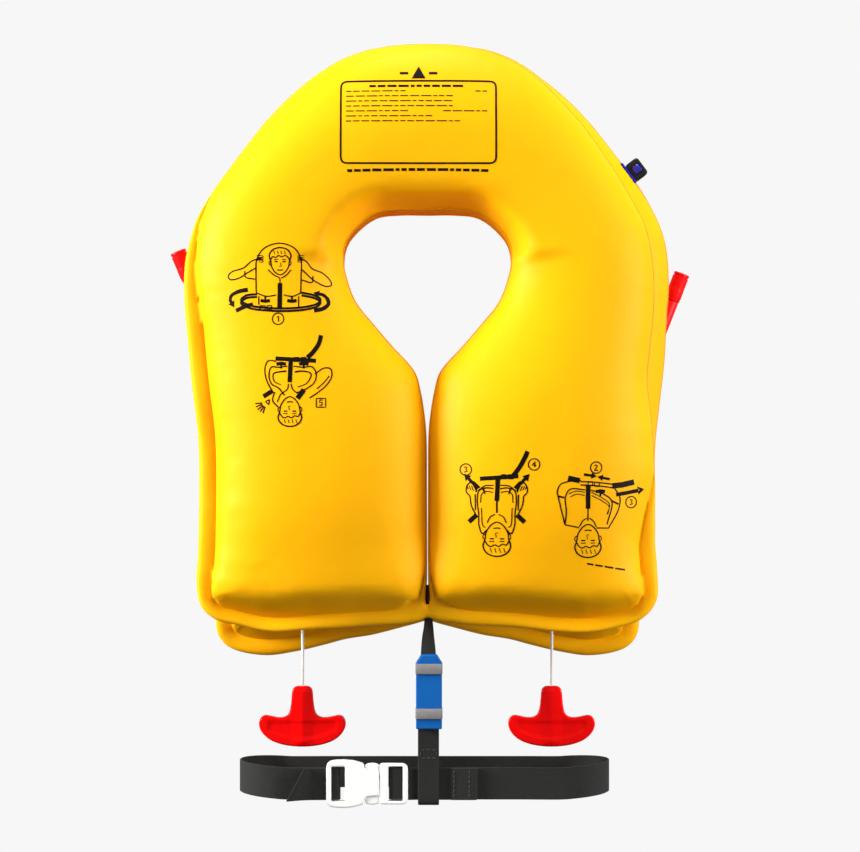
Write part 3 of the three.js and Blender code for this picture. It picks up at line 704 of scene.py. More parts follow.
FRONT_OUTLINE = [
    (0, -259), (-6, -261.4), (-13, -263), (-22, -264.2), (-45, -265.6), (-61, -266.6),
    (-92, -268.2), (-123, -270), (-147, -265), (-166, -260), (-177, -250), (-181, -232),
    (-179.5, -205), (-179, -160), (-180, -115), (-184.5, -77), (-188, -40), (-190.5, -10),
    (-190, 17), (-186, 37), (-180.5, 54), (-169.5, 73),
    (-156, 92), (-142, 110.5), (-127, 129.5), (-109, 148), (-86, 167), (-61, 181), (-32, 188.5),
    (0, 190.5), (31, 188.5), (61, 180), (88, 162.5), (104, 146.5), (119.5, 130), (135, 109),
    (151, 85), (163, 64), (171, 48), (176.5, 22), (178, -3), (177, -26), (174.5, -50),
    (172.5, -73), (176, -105), (178.5, -150), (178.5, -200), (180, -220), (179, -246),
    (167, -260), (147, -267), (127, -270.5), (103, -270), (72, -267), (49, -265.6),
    (33, -264.8), (21, -263), (7, -261.4),
]
NECK_LEFT = [
    (0, 60.5), (-22, 60.5), (-40, 58), (-56, 46), (-63.5, 35), (-65.5, 21), (-63, 7), (-56, -11.5),
    (-41, -30.5), (-25, -49), (-16, -58.5), (-9, -68), (-5.2, -82), (-2.6, -97), (-0.8, -115),
    (-0.45, -150), (-0.45, -222), (-1.1, -234), (-1.8, -243), (-1.3, -248.5), (0, -250.5),
]
REAR_RIGHT = [
    (0, 202), (25, 201), (49, 198), (74, 188), (94, 174), (113, 158.5), (132, 139), (155, 110),
    (176, 81), (191, 51), (195.5, 32), (197, 2), (195.5, -17), (193.5, -56), (189, -96),
    (186, -125), (185.5, -165), (185.5, -203), (181, -228), (174, -255), (170.5, -280),
    (161, -290), (133, -296), (108, -293), (84, -287.5), (67, -283), (47, -279.8), (35, -277),
    (22, -273.6), (10, -270.5), (0, -268),
]
NECK_REAR_SCALE = 1.035
RINGS = (0.08, 0.25, 0.5, 0.75, 0.92, 1.0, 1.25, 1.8, 2.7, 4.0, 5.8, 8.2, 11.5, 15.5)
CELL_TOP = 43.4                 # height of the lobes' crown above the seam
WELD_HALF = 0.7                 # half thickness of the fabric at the weld
CROWN = CELL_TOP - WELD_HALF
CROWN_FLAT, CROWN_SOFT = 3, 2.3 # the top of the crown, which is a little flatter than a film's
HALF_GAP = 0.9                  # from the middle to the cell on either side
SIDE_RIM = 13.5                 # width of the rolled rim at the lobes' sides
BARE_RIM = 0.7                  # width of the weld where no rim rolls up outside it
LIP_HALF = 3.5                  # and of the rolled rim outside it
CREASE = 0.55                   # how full the crease beside the rolled rim is
WALL_SOFT = 2.5                 # how softly a steep wall turns into its lobe
NECK_SLOPE, NECK_REACH = 2.3, 55
END_SLOPE, END_REACH = 1.7, 60


def mirrored(points):
    """The loop whose left half is given, from its top to its bottom."""
    return points + [(-x, z) for x, z in reversed(points[1:-1])]


def rim_widths(loop, side, bottom):
    """The rolled rim is wide round the lobes' ends, and is gone at the shoulders and the top."""
    x, z = loop.T
    to_bottom = np.clip((-z - 225) / 30, 0, 1)
    wide = side + (bottom - side) * to_bottom
    gone = np.where(x < 0, (z + 25) / 100, (z + 205) / 60)
    gone = np.clip(gone, 0, 1) ** 1.2
    web = np.where(z < -200, 6 * np.exp(-(x / 16) ** 2), 0)
    return wide + (BARE_RIM - wide) * gone + web


def eased(share):
    """A share from 0 to 1 that starts and ends gently."""
    return share * share * (3 - 2 * share)


def firm(height, run, slope, reach):
    """A lobe's height near a rim, with a steep flat wall there in place of a round one."""
    raised = CROWN * (np.maximum(height, 0) / CROWN) ** 0.55
    wall = slope * np.maximum(run, 0)
    lower = -WALL_SOFT * np.log(np.exp(-raised / WALL_SOFT) + np.exp(-wall / WALL_SOFT))
    share = eased(np.clip(1 - run / reach, 0, 1))
    return height + (np.maximum(lower, 0) - height) * share


def lobe_heights(sheet, outer, hole, bottom_rim):
    """How far the front and the back swell out: a film under pressure, firmer in front."""
    film = np.sqrt(2 * np.maximum(sheet.membrane(sheet.edge > 1.0001), 0))
    x, z = sheet.points.T
    rise = film / np.percentile(film[z < -100], 98) * CROWN
    level = CELL_TOP - CROWN_FLAT
    rise = np.where(rise > level, level + CROWN_SOFT * np.tanh((rise - level) / CROWN_SOFT), rise)
    to_neck = edge_distance(sheet.points, hole)[0] + 400 * np.clip((25 - z) / 60, 0, 1)
    front_rise = firm(rise, to_neck - 1.2, NECK_SLOPE, NECK_REACH)
    ends = outer[outer[:, 1] < -225]
    ends = ends[np.argsort(ends[:, 0])]
    above_end = z - np.interp(x, ends[:, 0], ends[:, 1]) - bottom_rim
    return firm(front_rise, above_end, END_SLOPE, END_REACH), rise


def rolled_rim(across, run, full, seed):
    """Half the rim's thickness, from its edge to the weld's, with a crease before the weld."""
    roll = np.sqrt(np.maximum(0, 1 - (2 * across - 1) ** 2))
    roll = np.where(across > 0.5, CREASE + (1 - CREASE) * roll, roll) * LIP_HALF * full
    return roll * (1 + 0.25 * wander(run, 31, seed))


def puckers(past, run, full, seed):
    """The small folds where the fabric leaves the weld."""
    folds = 1.0 * np.exp(-past / 16) * np.minimum(1, past / 3)
    folds = folds * (wander(run, 9, seed + 3) + 0.6 * wander(run, 21, seed + 5))
    return folds + CREASE * LIP_HALF * full * np.exp(-past / 5)


def make_cell(name, outline, neck, seam_y, bottom_rim, curl, seed, step):
    """One cell; its rolled rim curls forward by curl at the two bottom corners."""
    outer = anticlockwise(smooth_line(outline, step, closed=True))
    hole = anticlockwise(smooth_line(neck, step, closed=True))
    widths = [
        rim_widths(outer, SIDE_RIM, bottom_rim),
        np.interp(hole[:, 1], (-250, -240, -222, -110), (6.5, 4.5, 1.4, BARE_RIM)),
    ]
    sheet = Sheet(outer, [hole], widths, RINGS, step)
    front_rise, back_rise = lobe_heights(sheet, outer, hole, bottom_rim)

    x, z = sheet.points.T
    place = edge_distance(sheet.points, outer)[1]
    run = place * np.linalg.norm(outer[1] - outer[0])
    wide = np.interp(place, np.arange(len(outer)), widths[0])
    full = np.clip((wide - 3) / 8, 0.15, 1)
    across = np.clip(sheet.edge, 0, 1)
    past = np.maximum(sheet.edge - 1, 0)
    roll = rolled_rim(across, run, full, seed)
    pucker = puckers(past, run, full, seed)
    wave = 2.6 * wander(run, 48, seed + 7) * full * np.exp(-past / 22)
    swell = np.array([noise.noise(Vector((a / 85, b / 85, seed))) for a, b in zip(x, z)])
    swell = swell * np.minimum(1, past / 40)
    corner = np.clip((-z - 215) / 40, 0, 1) * np.clip((np.abs(x) - 55) / 60, 0, 1)

    level = seam_y + wave - curl * corner * (1 - across)
    base = WELD_HALF * np.minimum(1, across / 0.15)
    in_rim = sheet.edge < 1
    front = level - base - np.where(in_rim, roll, front_rise * (1 + 0.025 * swell) + pucker)
    back = level + base + np.where(in_rim, roll, back_rise * (1 - 0.02 * swell) + pucker)
    if seam_y < 0:
        back = np.minimum(back, -HALF_GAP)
    else:
        front = np.maximum(front, HALF_GAP)
    front[:sheet.rim] = back[:sheet.rim] = level[:sheet.rim]
    return sheet.solid(name, front, back)


def make_cells():
    """The rear and the front cell, each standing for its two CAD panels; returns the front one."""
    step = 4.2
    neck = mirrored(NECK_LEFT)
    front = make_cell("front_cell", FRONT_OUTLINE, neck, SEAM_Y["front"], 11.0, 6.0, 1.3, step)
    rear_outline = mirrored([(-x, z) for x, z in REAR_RIGHT])
    rear_neck = [(x * NECK_REAR_SCALE, z * NECK_REAR_SCALE - (z < -200) * 6) for x, z in neck]
    rear = make_cell("rear_cell", rear_outline, rear_neck, SEAM_Y["rear"], 13.0, 1.5, 5.1, step)
    for obj, side in ((front, "front"), (rear, "rear")):
        nodes = [f"{side}_cell_{face}_panel" for face in ("front", "back")]
        dress(obj, VEST_FABRIC, *nodes)
    return front


front_cell = make_cells()


# ---- printing on the front cell ---------------------------------------------------------------

INK_PROUD = 0.16                # how far a stroke stands out of the fabric, and reaches into it
INK_DEEP = 0.35
INK_SPREAD = 1.15               # how much wider a printed stroke comes out than it was drawn
IN_FRONT_Y = -0.5               # metres; a place nearer to the viewer than all of the vest


class Printing:
    """Strokes of ink laid on a surface that faces the viewer."""

    def __init__(self, surface):
        dg = bpy.context.evaluated_depsgraph_get()
        self.tree = BVHTree.FromObject(surface, dg)
        self.vertices, self.faces = [], []
        self.move((0, 0))

    def move(self, at, turn=0.0):
        """Puts the next strokes' own origin and their turn, in degrees, on the surface."""
        self.at, self.turn = np.array(at, float), math.radians(turn)

    def surface_y(self, x, z):
        """Where the surface is, seen from the front."""
        hit = self.tree.ray_cast(Vector((x * MM, IN_FRONT_Y, z * MM)), Vector((0, 1, 0)))[0]
        return hit.y / MM

    def placed(self, points):
        """Points of a drawing, turned and moved to their place on the surface."""
        c, s = math.cos(self.turn), math.sin(self.turn)
        return np.array(points, float) @ np.array([[c, s], [-s, c]]) + self.at

    def line(self, points, width, end_width=None, curved=False, closed=False):
        """A stroke through points; its width can change to end_width on the way."""
        spots = self.placed(points)
        if curved:
            spots = smooth_line(spots, 1.0, closed)
        if closed:
            spots = np.vstack([spots, spots[:1]])
        if not curved:
            parts = []
            for a, b in zip(spots, spots[1:]):
                count = max(2, math.ceil(np.linalg.norm(b - a) / 2.5) + 1)
                parts.append(np.linspace(a, b, count)[:-1])
            spots = np.vstack([*parts, spots[-1:]])
        apart = np.linalg.norm(np.diff(spots, axis=0), axis=1) > 1e-6
        spots = spots[np.concatenate([[True], apart])]
        along = np.gradient(spots, axis=0)
        along /= np.maximum(np.linalg.norm(along, axis=1), 1e-9)[:, None]
        across = np.column_stack([-along[:, 1], along[:, 0]])
        widths = np.linspace(width, width if end_width is None else end_width, len(spots))
        first = len(self.vertices)
        for spot, side, wide in zip(spots, across, widths):
            for sign in (1, -1):
                x, z = spot + sign * side * max(wide, 0.05) * INK_SPREAD / 2
                y = self.surface_y(x, z)
                self.vertices.append((x, y - INK_PROUD, z))
                self.vertices.append((x, y + INK_DEEP, z))
        for i in range(len(spots) - 1):
            a = first + 4 * i
            for p, q in ((0, 2), (2, 3), (3, 1), (1, 0)):
                self.faces.append((a + p, a + q, a + 4 + q, a + 4 + p))
        last = first + 4 * (len(spots) - 1)
        self.faces.append((first, first + 1, first + 3, first + 2))
        self.faces.append((last + 2, last + 3, last + 1, last))

    def curve(self, points, width=0.9, end_width=None):
        """A stroke that bends smoothly through its points."""
        self.line(points, width, end_width, curved=True)

    def circle(self, centre, radius, width):
        angles = np.radians(np.linspace(0, 360, 15))
        self.curve([(centre[0] + radius * math.cos(a), centre[1] + radius * math.sin(a))
                    for a in angles], width)

    def arrow(self, points, width, head):
        """A curved shaft with a filled head."""
        points = np.array(points, float)
        forward = points[-1] - points[-2]
        forward /= np.linalg.norm(forward)
        self.curve(points, width)
        tip = points[-1] + forward * head
        self.line([points[-1] - forward * 0.4, tip], head * 1.15, 0.1)

    def object(self, name):
        """All the strokes as one object."""
        vertices = np.array(self.vertices) * MM
        return faced_outward(mesh_object(name, vertices, self.faces, smooth=False))


# The strokes of each digit, round its own middle
DIGITS = {
    1: [[(-1, 1), (0.3, 2.2), (0.3, -2.2)]],
    2: [[(-1.2, 1.2), (-0.2, 2.2), (1.1, 1.2), (-1.3, -2.1)], [(-1.3, -2.1), (1.4, -2.1)]],
    3: [[(-1.1, 1.9), (0.9, 1.6), (0.1, 0.2), (1.1, -1.2), (-1.1, -2)]],
    4: [[(0.6, -2.2), (0.6, 2.2), (-1.4, -0.6), (1.5, -0.6)]],
    5: [[(1.1, 2.1), (-0.9, 2.1), (-1, 0.3), (1, 0.1), (0.8, -1.7), (-1.2, -1.9)]],
}


def step_number(ink, at, digit, boxed=False):
    """A step's number in a circle or a box."""
    if boxed:
        corners = [(-3.6, -3.4), (3.6, -3.4), (3.6, 3.4), (-3.6, 3.4)]
        ink.line([(at[0] + x, at[1] + z) for x, z in corners], 0.8, closed=True)
    else:
        ink.circle(at, 4.4, 0.8)
    for stroke in DIGITS[digit]:
        ink.line([(at[0] + x, at[1] + z) for x, z in stroke], 0.8)


def plain_head(ink, at, size):
    """A head with short hair and a calm, symmetrical face; its middle is at the place given."""

    def stroke(points, width, curved=False):
        ink.line([(at[0] + size * x, at[1] + size * z) for x, z in points], width, curved=curved)

    jaw = [(-6.3, 1), (-5.6, -3), (-3, -6.8), (0, -8.3), (3, -6.8), (5.6, -3), (6.3, 1)]
    crown = [(-6.3, 1), (-7.3, 4.6), (-5.6, 8), (-2, 9.8), (2, 9.8), (5.6, 8), (7.3, 4.6), (6.3, 1)]
    fringe = [(-6.2, 2), (-5, 4), (-3, 3.4), (-1, 4.7), (1.2, 3.8), (3.2, 4.8), (5, 3.8), (6.2, 2)]
    for points, width in ((jaw, 0.85), (crown, 1.0), (fringe, 0.8)):
        stroke(points, width, curved=True)
    for x in (-4.4, -2, 0.4, 2.8):
        stroke([(x, 8), (x + 0.8, 5.6)], 0.5)
    for sign in (-1, 1):
        stroke([(sign * 1.4, 2.1), (sign * 4, 2)], 0.6)
        stroke([(sign * 1.6, 0.6), (sign * 3.8, 0.6)], 0.9)
        ear = [(sign * 6.3, 1), (sign * 7.4, 0.4), (sign * 7, -1.6), (sign * 6, -2)]
        stroke(ear, 0.6, curved=True)
    stroke([(0.3, 0), (0.8, -2.4), (-0.5, -2.6)], 0.5)
    stroke([(-1.9, -4.9), (0, -5.2), (1.9, -4.9)], 0.8, curved=True)


def small_handle(ink, x, z):
    """A small T-shaped handle on its lanyard."""
    ink.line([(x, z + 3), (x, z)], 1.3)
    ink.curve([(x - 3.6, z - 0.4), (x, z - 1), (x + 3.6, z - 0.4)], 2.3)


def small_buckle(ink, x, z, tilt=0.0):
    """The two halves of a buckle, joined."""
    for left, right in ((-4.4, -0.7), (0.9, 4.4)):
        ink.line([(x + a, z + a * tilt + b) for a, b in
                  ((left, -1.6), (right, -1.6), (right, 1.6), (left, 1.6))], 0.7, closed=True)


def double_line(ink, points, width, apart):
    """A strap drawn as two lines."""
    for offset in (-apart / 2, apart / 2):
        ink.curve([(x, z + offset) for x, z in points], width)


def pictogram_put_on(ink):
    """Hands at the collar of the worn vest, and the belt going round the waist."""
    plain_head(ink, (1.4, 17.5), 1.15)
    ink.curve([(-17, -6), (-17.2, 10), (-16.6, 20), (-11, 28.5), (1, 32.4), (12.5, 28.5), (17.4, 20),
               (17.6, 8), (17.4, -6)])
    ink.curve([(-17, -6), (-9, -8.6), (-1.5, -7.6)])
    ink.curve([(17.4, -6), (11, -8.6), (4.4, -7.6)])
    ink.curve([(-8, 12), (-3, 7.6), (1, 5.4), (1.4, 1)], 0.8)
    ink.curve([(10, 12), (6, 7.6), (2.4, 5.4)], 0.8)
    ink.line([(1.4, 1.6), (1.2, -18)], 3.1)
    ink.curve([(-13, 20.6), (-20, 19), (-27, 13.4), (-36, 10.6), (-39, 7.4), (-37.6, 4.6), (-31, 5.4),
               (-24, 9.6), (-16.6, 13.8)])
    ink.curve([(-26, 11), (-25.4, 6.4), (-18, 4.6)])
    ink.curve([(16, 21), (21.4, 18.6), (26, 13), (34, 9.6), (40, 3.6), (40.6, 0.6), (37, -0.6),
               (28, 3.4), (18.4, 12)])
    ink.curve([(26.6, 7.4), (26, 2.4), (18, 4)])
    for sign, x in ((-1, -12), (1, 15.4)):
        for z in (22.6, 20.8, 19):
            ink.curve([(x + sign * 4.5, z + 0.4), (x, z), (x - sign * 0.6, z - 1),
                       (x + sign * 3, z - 1)], 0.55)
    loop = [(-16.4, -8), (-25, -9), (-29, -12.6), (-22, -16.6), (-8, -18.6), (6, -19), (22, -17.6),
            (31, -14.6), (32.4, -11.6), (27, -8.6), (18, -6.8)]
    double_line(ink, loop, 1.5, 2.1)
    small_buckle(ink, -9.4, -17.4)
    small_handle(ink, -10, -11.4)
    small_handle(ink, 10.6, -11.4)
    ink.line([(-15, -8.6), (-15, -15)], 0.9)
    ink.line([(15.8, -8.6), (15.8, -17)], 0.9)
    ink.line([(-33, -19.6), (-26, -16.4), (-19.6, -14.6)], 2.7)
    ink.curve([(-23.6, -3.4), (-31, -4.8), (-36.6, -8), (-37.6, -12)], 3.0, 2.0)
    ink.arrow([(-37.6, -11.4), (-36.4, -13.4)], 2.0, 4.2)
    ink.curve([(27.6, -19.4), (34.4, -18), (38.6, -14), (37.4, -9.4)], 3.0, 2.4)
    ink.arrow([(37.6, -10), (34.6, -7.4), (31, -6.6)], 2.2, 4.2)
    step_number(ink, (0, -26), 1)


def pictogram_blow(ink):
    """The wearer, who sees it this way up, blows into the right tube; the light is lit."""
    plain_head(ink, (1.2, 23.4), 1.25)
    ink.line([(12.4, -16.4), (-2, -15.6), (-18.8, -14.6)], 2.8)
    ink.curve([(-12.2, -17), (-17.4, -22.4), (-21.2, -28.6), (-22.6, -34.4)], 3.0)
    small_buckle(ink, -6.6, -15.6)
    ink.line([(0.6, -15), (1.4, 2)], 3.0)
    small_handle(ink, 8, -11.6)
    small_handle(ink, -9.4, -11.6)
    ink.curve([(3.4, -10.4), (10, -9.6), (15.6, -9.8), (17.4, -4), (15.6, 3), (10, 6.4), (5.4, 12)])
    ink.curve([(-1.6, -10.4), (-9, -9.6), (-15.6, -10), (-19, -5), (-17.6, 2), (-12, 6.6), (-4, 10)])
    ink.curve([(4, -6.6), (10, -6), (14, -4.6), (13.4, 1), (8, 4)], 1.2, 0.6)
    ink.curve([(-2.6, -6), (-9, -6.6), (-15, -4.6), (-12, 2.4), (-5, 5.6)], 1.2, 0.6)
    ink.curve([(2.4, 3), (3, 7), (8.4, 11.4), (11, 17)], 0.8)
    ink.curve([(0.4, 3), (-1, 7.4), (-4.6, 10.4)], 0.8)
    ink.curve([(-18, -4.4), (-25, -9), (-30, -8.4), (-31, -3), (-27, 4), (-20, 10), (-14, 14)])
    ink.curve([(-29, -3), (-25, 2), (-19.6, 7)], 0.8)
    ink.curve([(12, -14.2), (18, -14.6), (20.6, -9), (19.4, 0), (15.4, 8)])
    ink.line([(-4.6, 14.4), (-9.6, 7.6)], 3.4)
    ink.line([(21.8, 12.8), (14.4, 8.4)], 3.0)
    ink.curve([(13, 9.4), (14.6, 16), (10.4, 21)])
    ink.line([(17, 15.4), (20, 16.6), (17.6, 19.4)], 0.9, closed=True)
    for angle in (5, 22, 39, 56, 73):
        c, s = math.cos(math.radians(angle)), math.sin(math.radians(angle))
        ink.line([(19.6 + 3.2 * c, 17.6 + 3.2 * s), (19.6 + 8.6 * c, 17.6 + 8.6 * s)], 0.9)


def pictogram_pull(ink):
    """Both handles pulled down, with an arrow beside each."""
    plain_head(ink, (1.9, 27), 1.45)
    ink.line([(15, -18.4), (0, -19.4), (-14.4, -20.6)], 2.8)
    ink.curve([(-10.4, -20.6), (-15.8, -28), (-19.6, -35), (-21.6, -39.6)], 3.1)
    small_buckle(ink, -6, -20)
    ink.line([(1.2, -19), (2, -1.4)], 3.1)
    ink.line([(2, -1.4), (2, 8)], 1.2)
    for sign in (-1, 1):

        def half(points):
            return [(2 + sign * x, z) for x, z in points]

        ink.curve(half([(2.6, -10.8), (8, -11.4), (13.6, -9.4), (15, -2), (14, 8), (13.6, 18),
                        (11, 24), (7.6, 21)]))
        for points, width in (
                ([(3.2, -8), (8, -8.6), (11.6, -6.6), (12.4, 0)], 0.7),
                ([(11.8, 4), (10.6, 18), (8.8, 19)], 0.7),
                ([(1.4, 9), (5, 11), (7.4, 15.6)], 0.8),
                ([(14.6, -9), (9, -13), (2.6, -13.4)], 0.8)):
            ink.curve(half(points), width)
        ink.line(half([(10.4, -10.4), (9, -6.4)]), 1.6, 0.4)
        ink.curve(half([(20.6, -5), (19.6, 2), (16.4, 9)]))
        ink.line(half([(16.6, -6.4), (16.4, 6)]), 0.9)
        ink.curve(half([(16, -8), (15.4, -13.6), (18.6, -16.4), (22.6, -13.4), (23.4, -8.4),
                        (20.6, -5)]))
        for step in (0, 1.9, 3.8):
            ink.line(half([(18 + step, -9 - step / 3), (19.4 + step, -13)]), 0.6)
        ink.line(half([(14.6, -10.6), (16.6, -13.6)]), 4.0, 3.0)
        ink.arrow(half([(15.4, -12), (18.6, -15.2), (22, -18.8)]), 2.1, 4.6)
        ink.line(half([(15.4, 9.4), (21.4, 15)]), 3.1)


def pictogram_fasten(ink):
    """The belt joined in front and its free end pulled tight."""
    plain_head(ink, (6.8, 25.4), 1.4)
    ink.line([(22.6, -22), (13.6, -20)], 3.6)
    ink.line([(-12, -15.8), (-20, -16.6), (-29.4, -18.6)], 3.8)
    ink.arrow([(10.4, -24.8), (4, -23.8)], 1.7, 3.8)
    ink.arrow([(-10, -21), (-4, -22.2)], 1.7, 3.8)
    ink.arrow([(-15, -9), (-24, -10.4), (-33, -12)], 2.6, 5)
    double_line(ink, [(13, -18), (4, -17.6), (-6, -16.6), (-13, -15.6)], 0.9, 2.6)
    small_buckle(ink, 2.6, -17.4, -0.1)
    ink.line([(7, -16), (7, 1.6)], 3.1)
    ink.line([(7, 1.6), (7, 11)], 0.9)
    small_handle(ink, -2.6, -11)
    ink.line([(24.6, 14), (14, 16.2)], 0.9)
    ink.curve([(12.6, -20), (22, -19.4), (28.6, -17), (30.8, -11.6), (30, -7), (24.8, 14)])
    ink.curve([(24.8, 14), (23.8, 4), (24.6, -7.6), (21, -13.4), (9.4, -13)])
    ink.line([(25.6, -7), (30, -8)], 1.2)
    for level in (0, 2.4):
        ink.curve([(22 - level / 2, -10 + level), (16, -12 + level), (9.6, -11 + level)], 0.6)
        ink.curve([(4.4, -11 + level), (-4, -6.6 + level), (-9.6, -2 + level),
                   (-8.6 + level / 3, 6)], 0.6)
    ink.curve([(5, -12.6), (-4, -10), (-11.6, -4), (-8, 14)])
    ink.curve([(-13, -15), (-18, -7), (-17, 2.4), (-9.4, 16.4)])
    ink.line([(-11.4, -4.4), (-17, -1.6)], 1.2)
    ink.line([(0.4, 16.6), (-9.4, 16.8)], 0.9)
    for sign in (-1, 1):
        ink.curve([(7 + sign * 1.2, 9), (7 + sign * 4, 11), (7 + sign * 6.6, 15.6)], 0.8)


SHORTEST_DASH = 3
DASH_GAP = 1.5


def dashes(ink, start, end, z, width, seed, drop=0.0):
    """A plain row of short strokes, where the real vest has a line of small print."""
    x, k = start, seed
    while x < end - SHORTEST_DASH:
        length = min(SHORTEST_DASH + (7 * k) % 6, end - x)
        rise = drop * (1 - ((2 * x - start - end) / (end - start)) ** 2)
        ink.line([(x, z - rise), (x + length, z - rise)], width)
        x += length + DASH_GAP
        k += 1


ROW_TOP = 24.1
ROW_PITCH = 3.92


def make_printing():
    """Everything that is printed on the front cell, from its top to its bottom."""
    ink = Printing(front_cell)
    ink.move((-6.8, 164))
    ink.line([(0, -4.4), (0, 5.4)], 9.5, 0.2)
    for sign in (-1, 1):
        ink.line([(sign * 8, 0), (sign * 14.5, 0)], 1.8)
    ink.move((-6.9, 125.8))
    panel = polygon([(-60, -32), (60, -32), (60, 32), (-60, 32)], 5, 2.5)
    ink.line(panel, 1.3, closed=True)
    dashes(ink, -38, 38, 28, 1.6, 2)
    row_ends = (-10, 30, 26, 28, -4, 14, 32)
    for row, end in enumerate(row_ends):
        dashes(ink, -56, end, ROW_TOP - ROW_PITCH * row, 0.75, 2 * row + 1)
    dashes(ink, 44, 53, ROW_TOP, 0.75, 1)
    dashes(ink, 19, 53, ROW_TOP - ROW_PITCH * 4, 0.75, 3)
    ink.move((-8, 88))
    dashes(ink, -54, 55, 0, 1.9, 1, drop=-1.0)
    ink.move((-115, -0.4))
    pictogram_put_on(ink)
    ink.move((-104.5, -73.4), 180)
    pictogram_blow(ink)
    ink.move((-104.5, -73.4))
    step_number(ink, (22.7, -17.7), 5, boxed=True)
    ink.move((55.4, -168), 180)
    pictogram_pull(ink)
    ink.move((55.4, -168))
    step_number(ink, (-25.8, 25.4), 3)
    step_number(ink, (26.6, 29.5), 4)
    ink.move((130.7, -171), 180)
    pictogram_fasten(ink)
    ink.move((130.7, -171))
    step_number(ink, (-0.8, 30), 2)
    step_number(ink, (27.2, 3), 3)
    ink.move((139, -218), -10)
    dashes(ink, -16, 16, 0, 1.2, 2)
    dress(ink.object("front_printing"), INK, body="vest", slot="black_plastic")


make_printing()


# ---- webbing ----------------------------------------------------------------------------------

WEB_THICKNESS = 1.6
WEB_EDGE = 0.5                  # width of the rounded edge on both sides
BELT_WIDTH = 25.4


def webbing(name, line, width, across=None):
    """A woven strip along a line; across gives its width's direction at each point."""
    line = np.asarray(line, float)
    along = np.gradient(line, axis=0)
    run = run_along(line)
    rows = 8
    half, t = width / 2, WEB_THICKNESS / 2
    flat = [-half + WEB_EDGE + (width - 2 * WEB_EDGE) * k / rows for k in range(rows + 1)]
    section = [(-half, 0), *((a, t) for a in flat), (half, 0), *((-a, -t) for a in flat)]
    n = len(section)
    vertices = []
    for i, point in enumerate(line):
        forward = Vector(along[i]).normalized()
        side = Vector(across[i]) if across is not None else Vector((0, 0, 1))
        side = (side - forward * side.dot(forward)).normalized()
        normal = side.cross(forward)
        for a, b in section:
            vertices.append(Vector(point) + side * a + normal * b)
    obj = mesh_object(name, np.array(vertices) * MM, skin(len(line), n))
    layer = obj.data.uv_layers.new(name="weave")
    for loop in obj.data.loops:
        i, k = divmod(loop.vertex_index, n)
        layer.data[loop.index].uv = (run[i] * MM, section[k][0] * MM)
    return sharpened(obj, 50)


STITCH_LENGTH = 2.6
STITCH_GAP = 1.1
THREAD_RADIUS = 0.32
STITCH_SHAPE = ((-0.5, 0.35), (-0.36, 0.9), (0, 1.1), (0.36, 0.9), (0.5, 0.35))


def stitches(name, rows):
    """Rows of thread: each row is (start, end); the thread lies along it."""
    vertices, faces = [], []
    for start, end in rows:
        start, end = Vector(start), Vector(end)
        forward, side, up = axes_along(end - start)
        count = max(1, int((end - start).length / (STITCH_LENGTH + STITCH_GAP)))
        pitch = (end - start).length / count
        for i in range(count):
            faces += skin(len(STITCH_SHAPE), 6, first=len(vertices))
            middle = start + forward * pitch * (i + 0.5)
            for share, thick in STITCH_SHAPE:
                for k in range(6):
                    angle = math.pi * k / 3
                    spoke = side * math.cos(angle) + up * math.sin(angle)
                    vertices.append(middle + forward * share * STITCH_LENGTH
                                    + spoke * THREAD_RADIUS * thick)
    return faced_outward(mesh_object(name, np.array(vertices) * MM, faces))


BELT_Z = -390.0
BELT_FRONT_Y = -38.0
BELT_BACK_Y = 36.0
BUCKLE_Y = -39.0
PLY = 2.3                       # a ply's distance from its bar's middle
LEFT_BAR, RIGHT_BAR = -71.4, -27.2
BLEND_HALF = 60.0               # half the stretch of the belt behind that lets its halves part
BLEND_RUN = 24                  # how far each half goes on past that stretch
TAIL_SLANT = 14                 # how far the free end's upper corner is cut back
TAIL_CURL = 3.5                 # how far its lower corner comes forward
HEM_Y = -41.6
THREAD_PROUD = 0.05


def fold_round(bar_x, sign):
    """The webbing's turn round a bar, from its front ply to its back ply."""
    angles = [math.radians(90 - 20 * k) for k in range(10)]
    return [(bar_x + sign * PLY * math.cos(a), BUCKLE_Y - PLY * math.sin(a), BELT_Z) for a in angles]


def belt_end(end_x, sign):
    """The half circle at one end of the belt's loop, from its front run to its back run."""
    radius = (BELT_BACK_Y - BELT_FRONT_Y) / 2
    centre = end_x - sign * radius
    middle = BELT_FRONT_Y + radius
    angles = [math.pi * k / 30 for k in range(31)]
    return [(centre + sign * radius * math.sin(a), middle - radius * math.cos(a),
             BELT_Z + 2.5 * math.sin(a)) for a in angles]


def on_belt(points):
    """Points at the belt's own height."""
    return [(x, y, BELT_Z) for x, y in points]


def behind(start, end, count):
    """Even points on the belt's straight run at the back."""
    return on_belt(np.linspace((start, BELT_BACK_Y), (end, BELT_BACK_Y), count))


def slant_tail(belt):
    """Cuts the free end at a slant, and lets its lower corner curl forward."""
    for vertex in belt.data.vertices:
        x, y, z = vertex.co / MM
        if y < BUCKLE_Y and x < -80:
            near_end = min(1, max(0, (-92 - x) / 16))
            rise = (z - BELT_Z) / BELT_WIDTH + 0.5
            vertex.co.x += TAIL_SLANT * rise * near_end * MM
            vertex.co.y -= TAIL_CURL * (1 - rise) * near_end ** 2 * MM


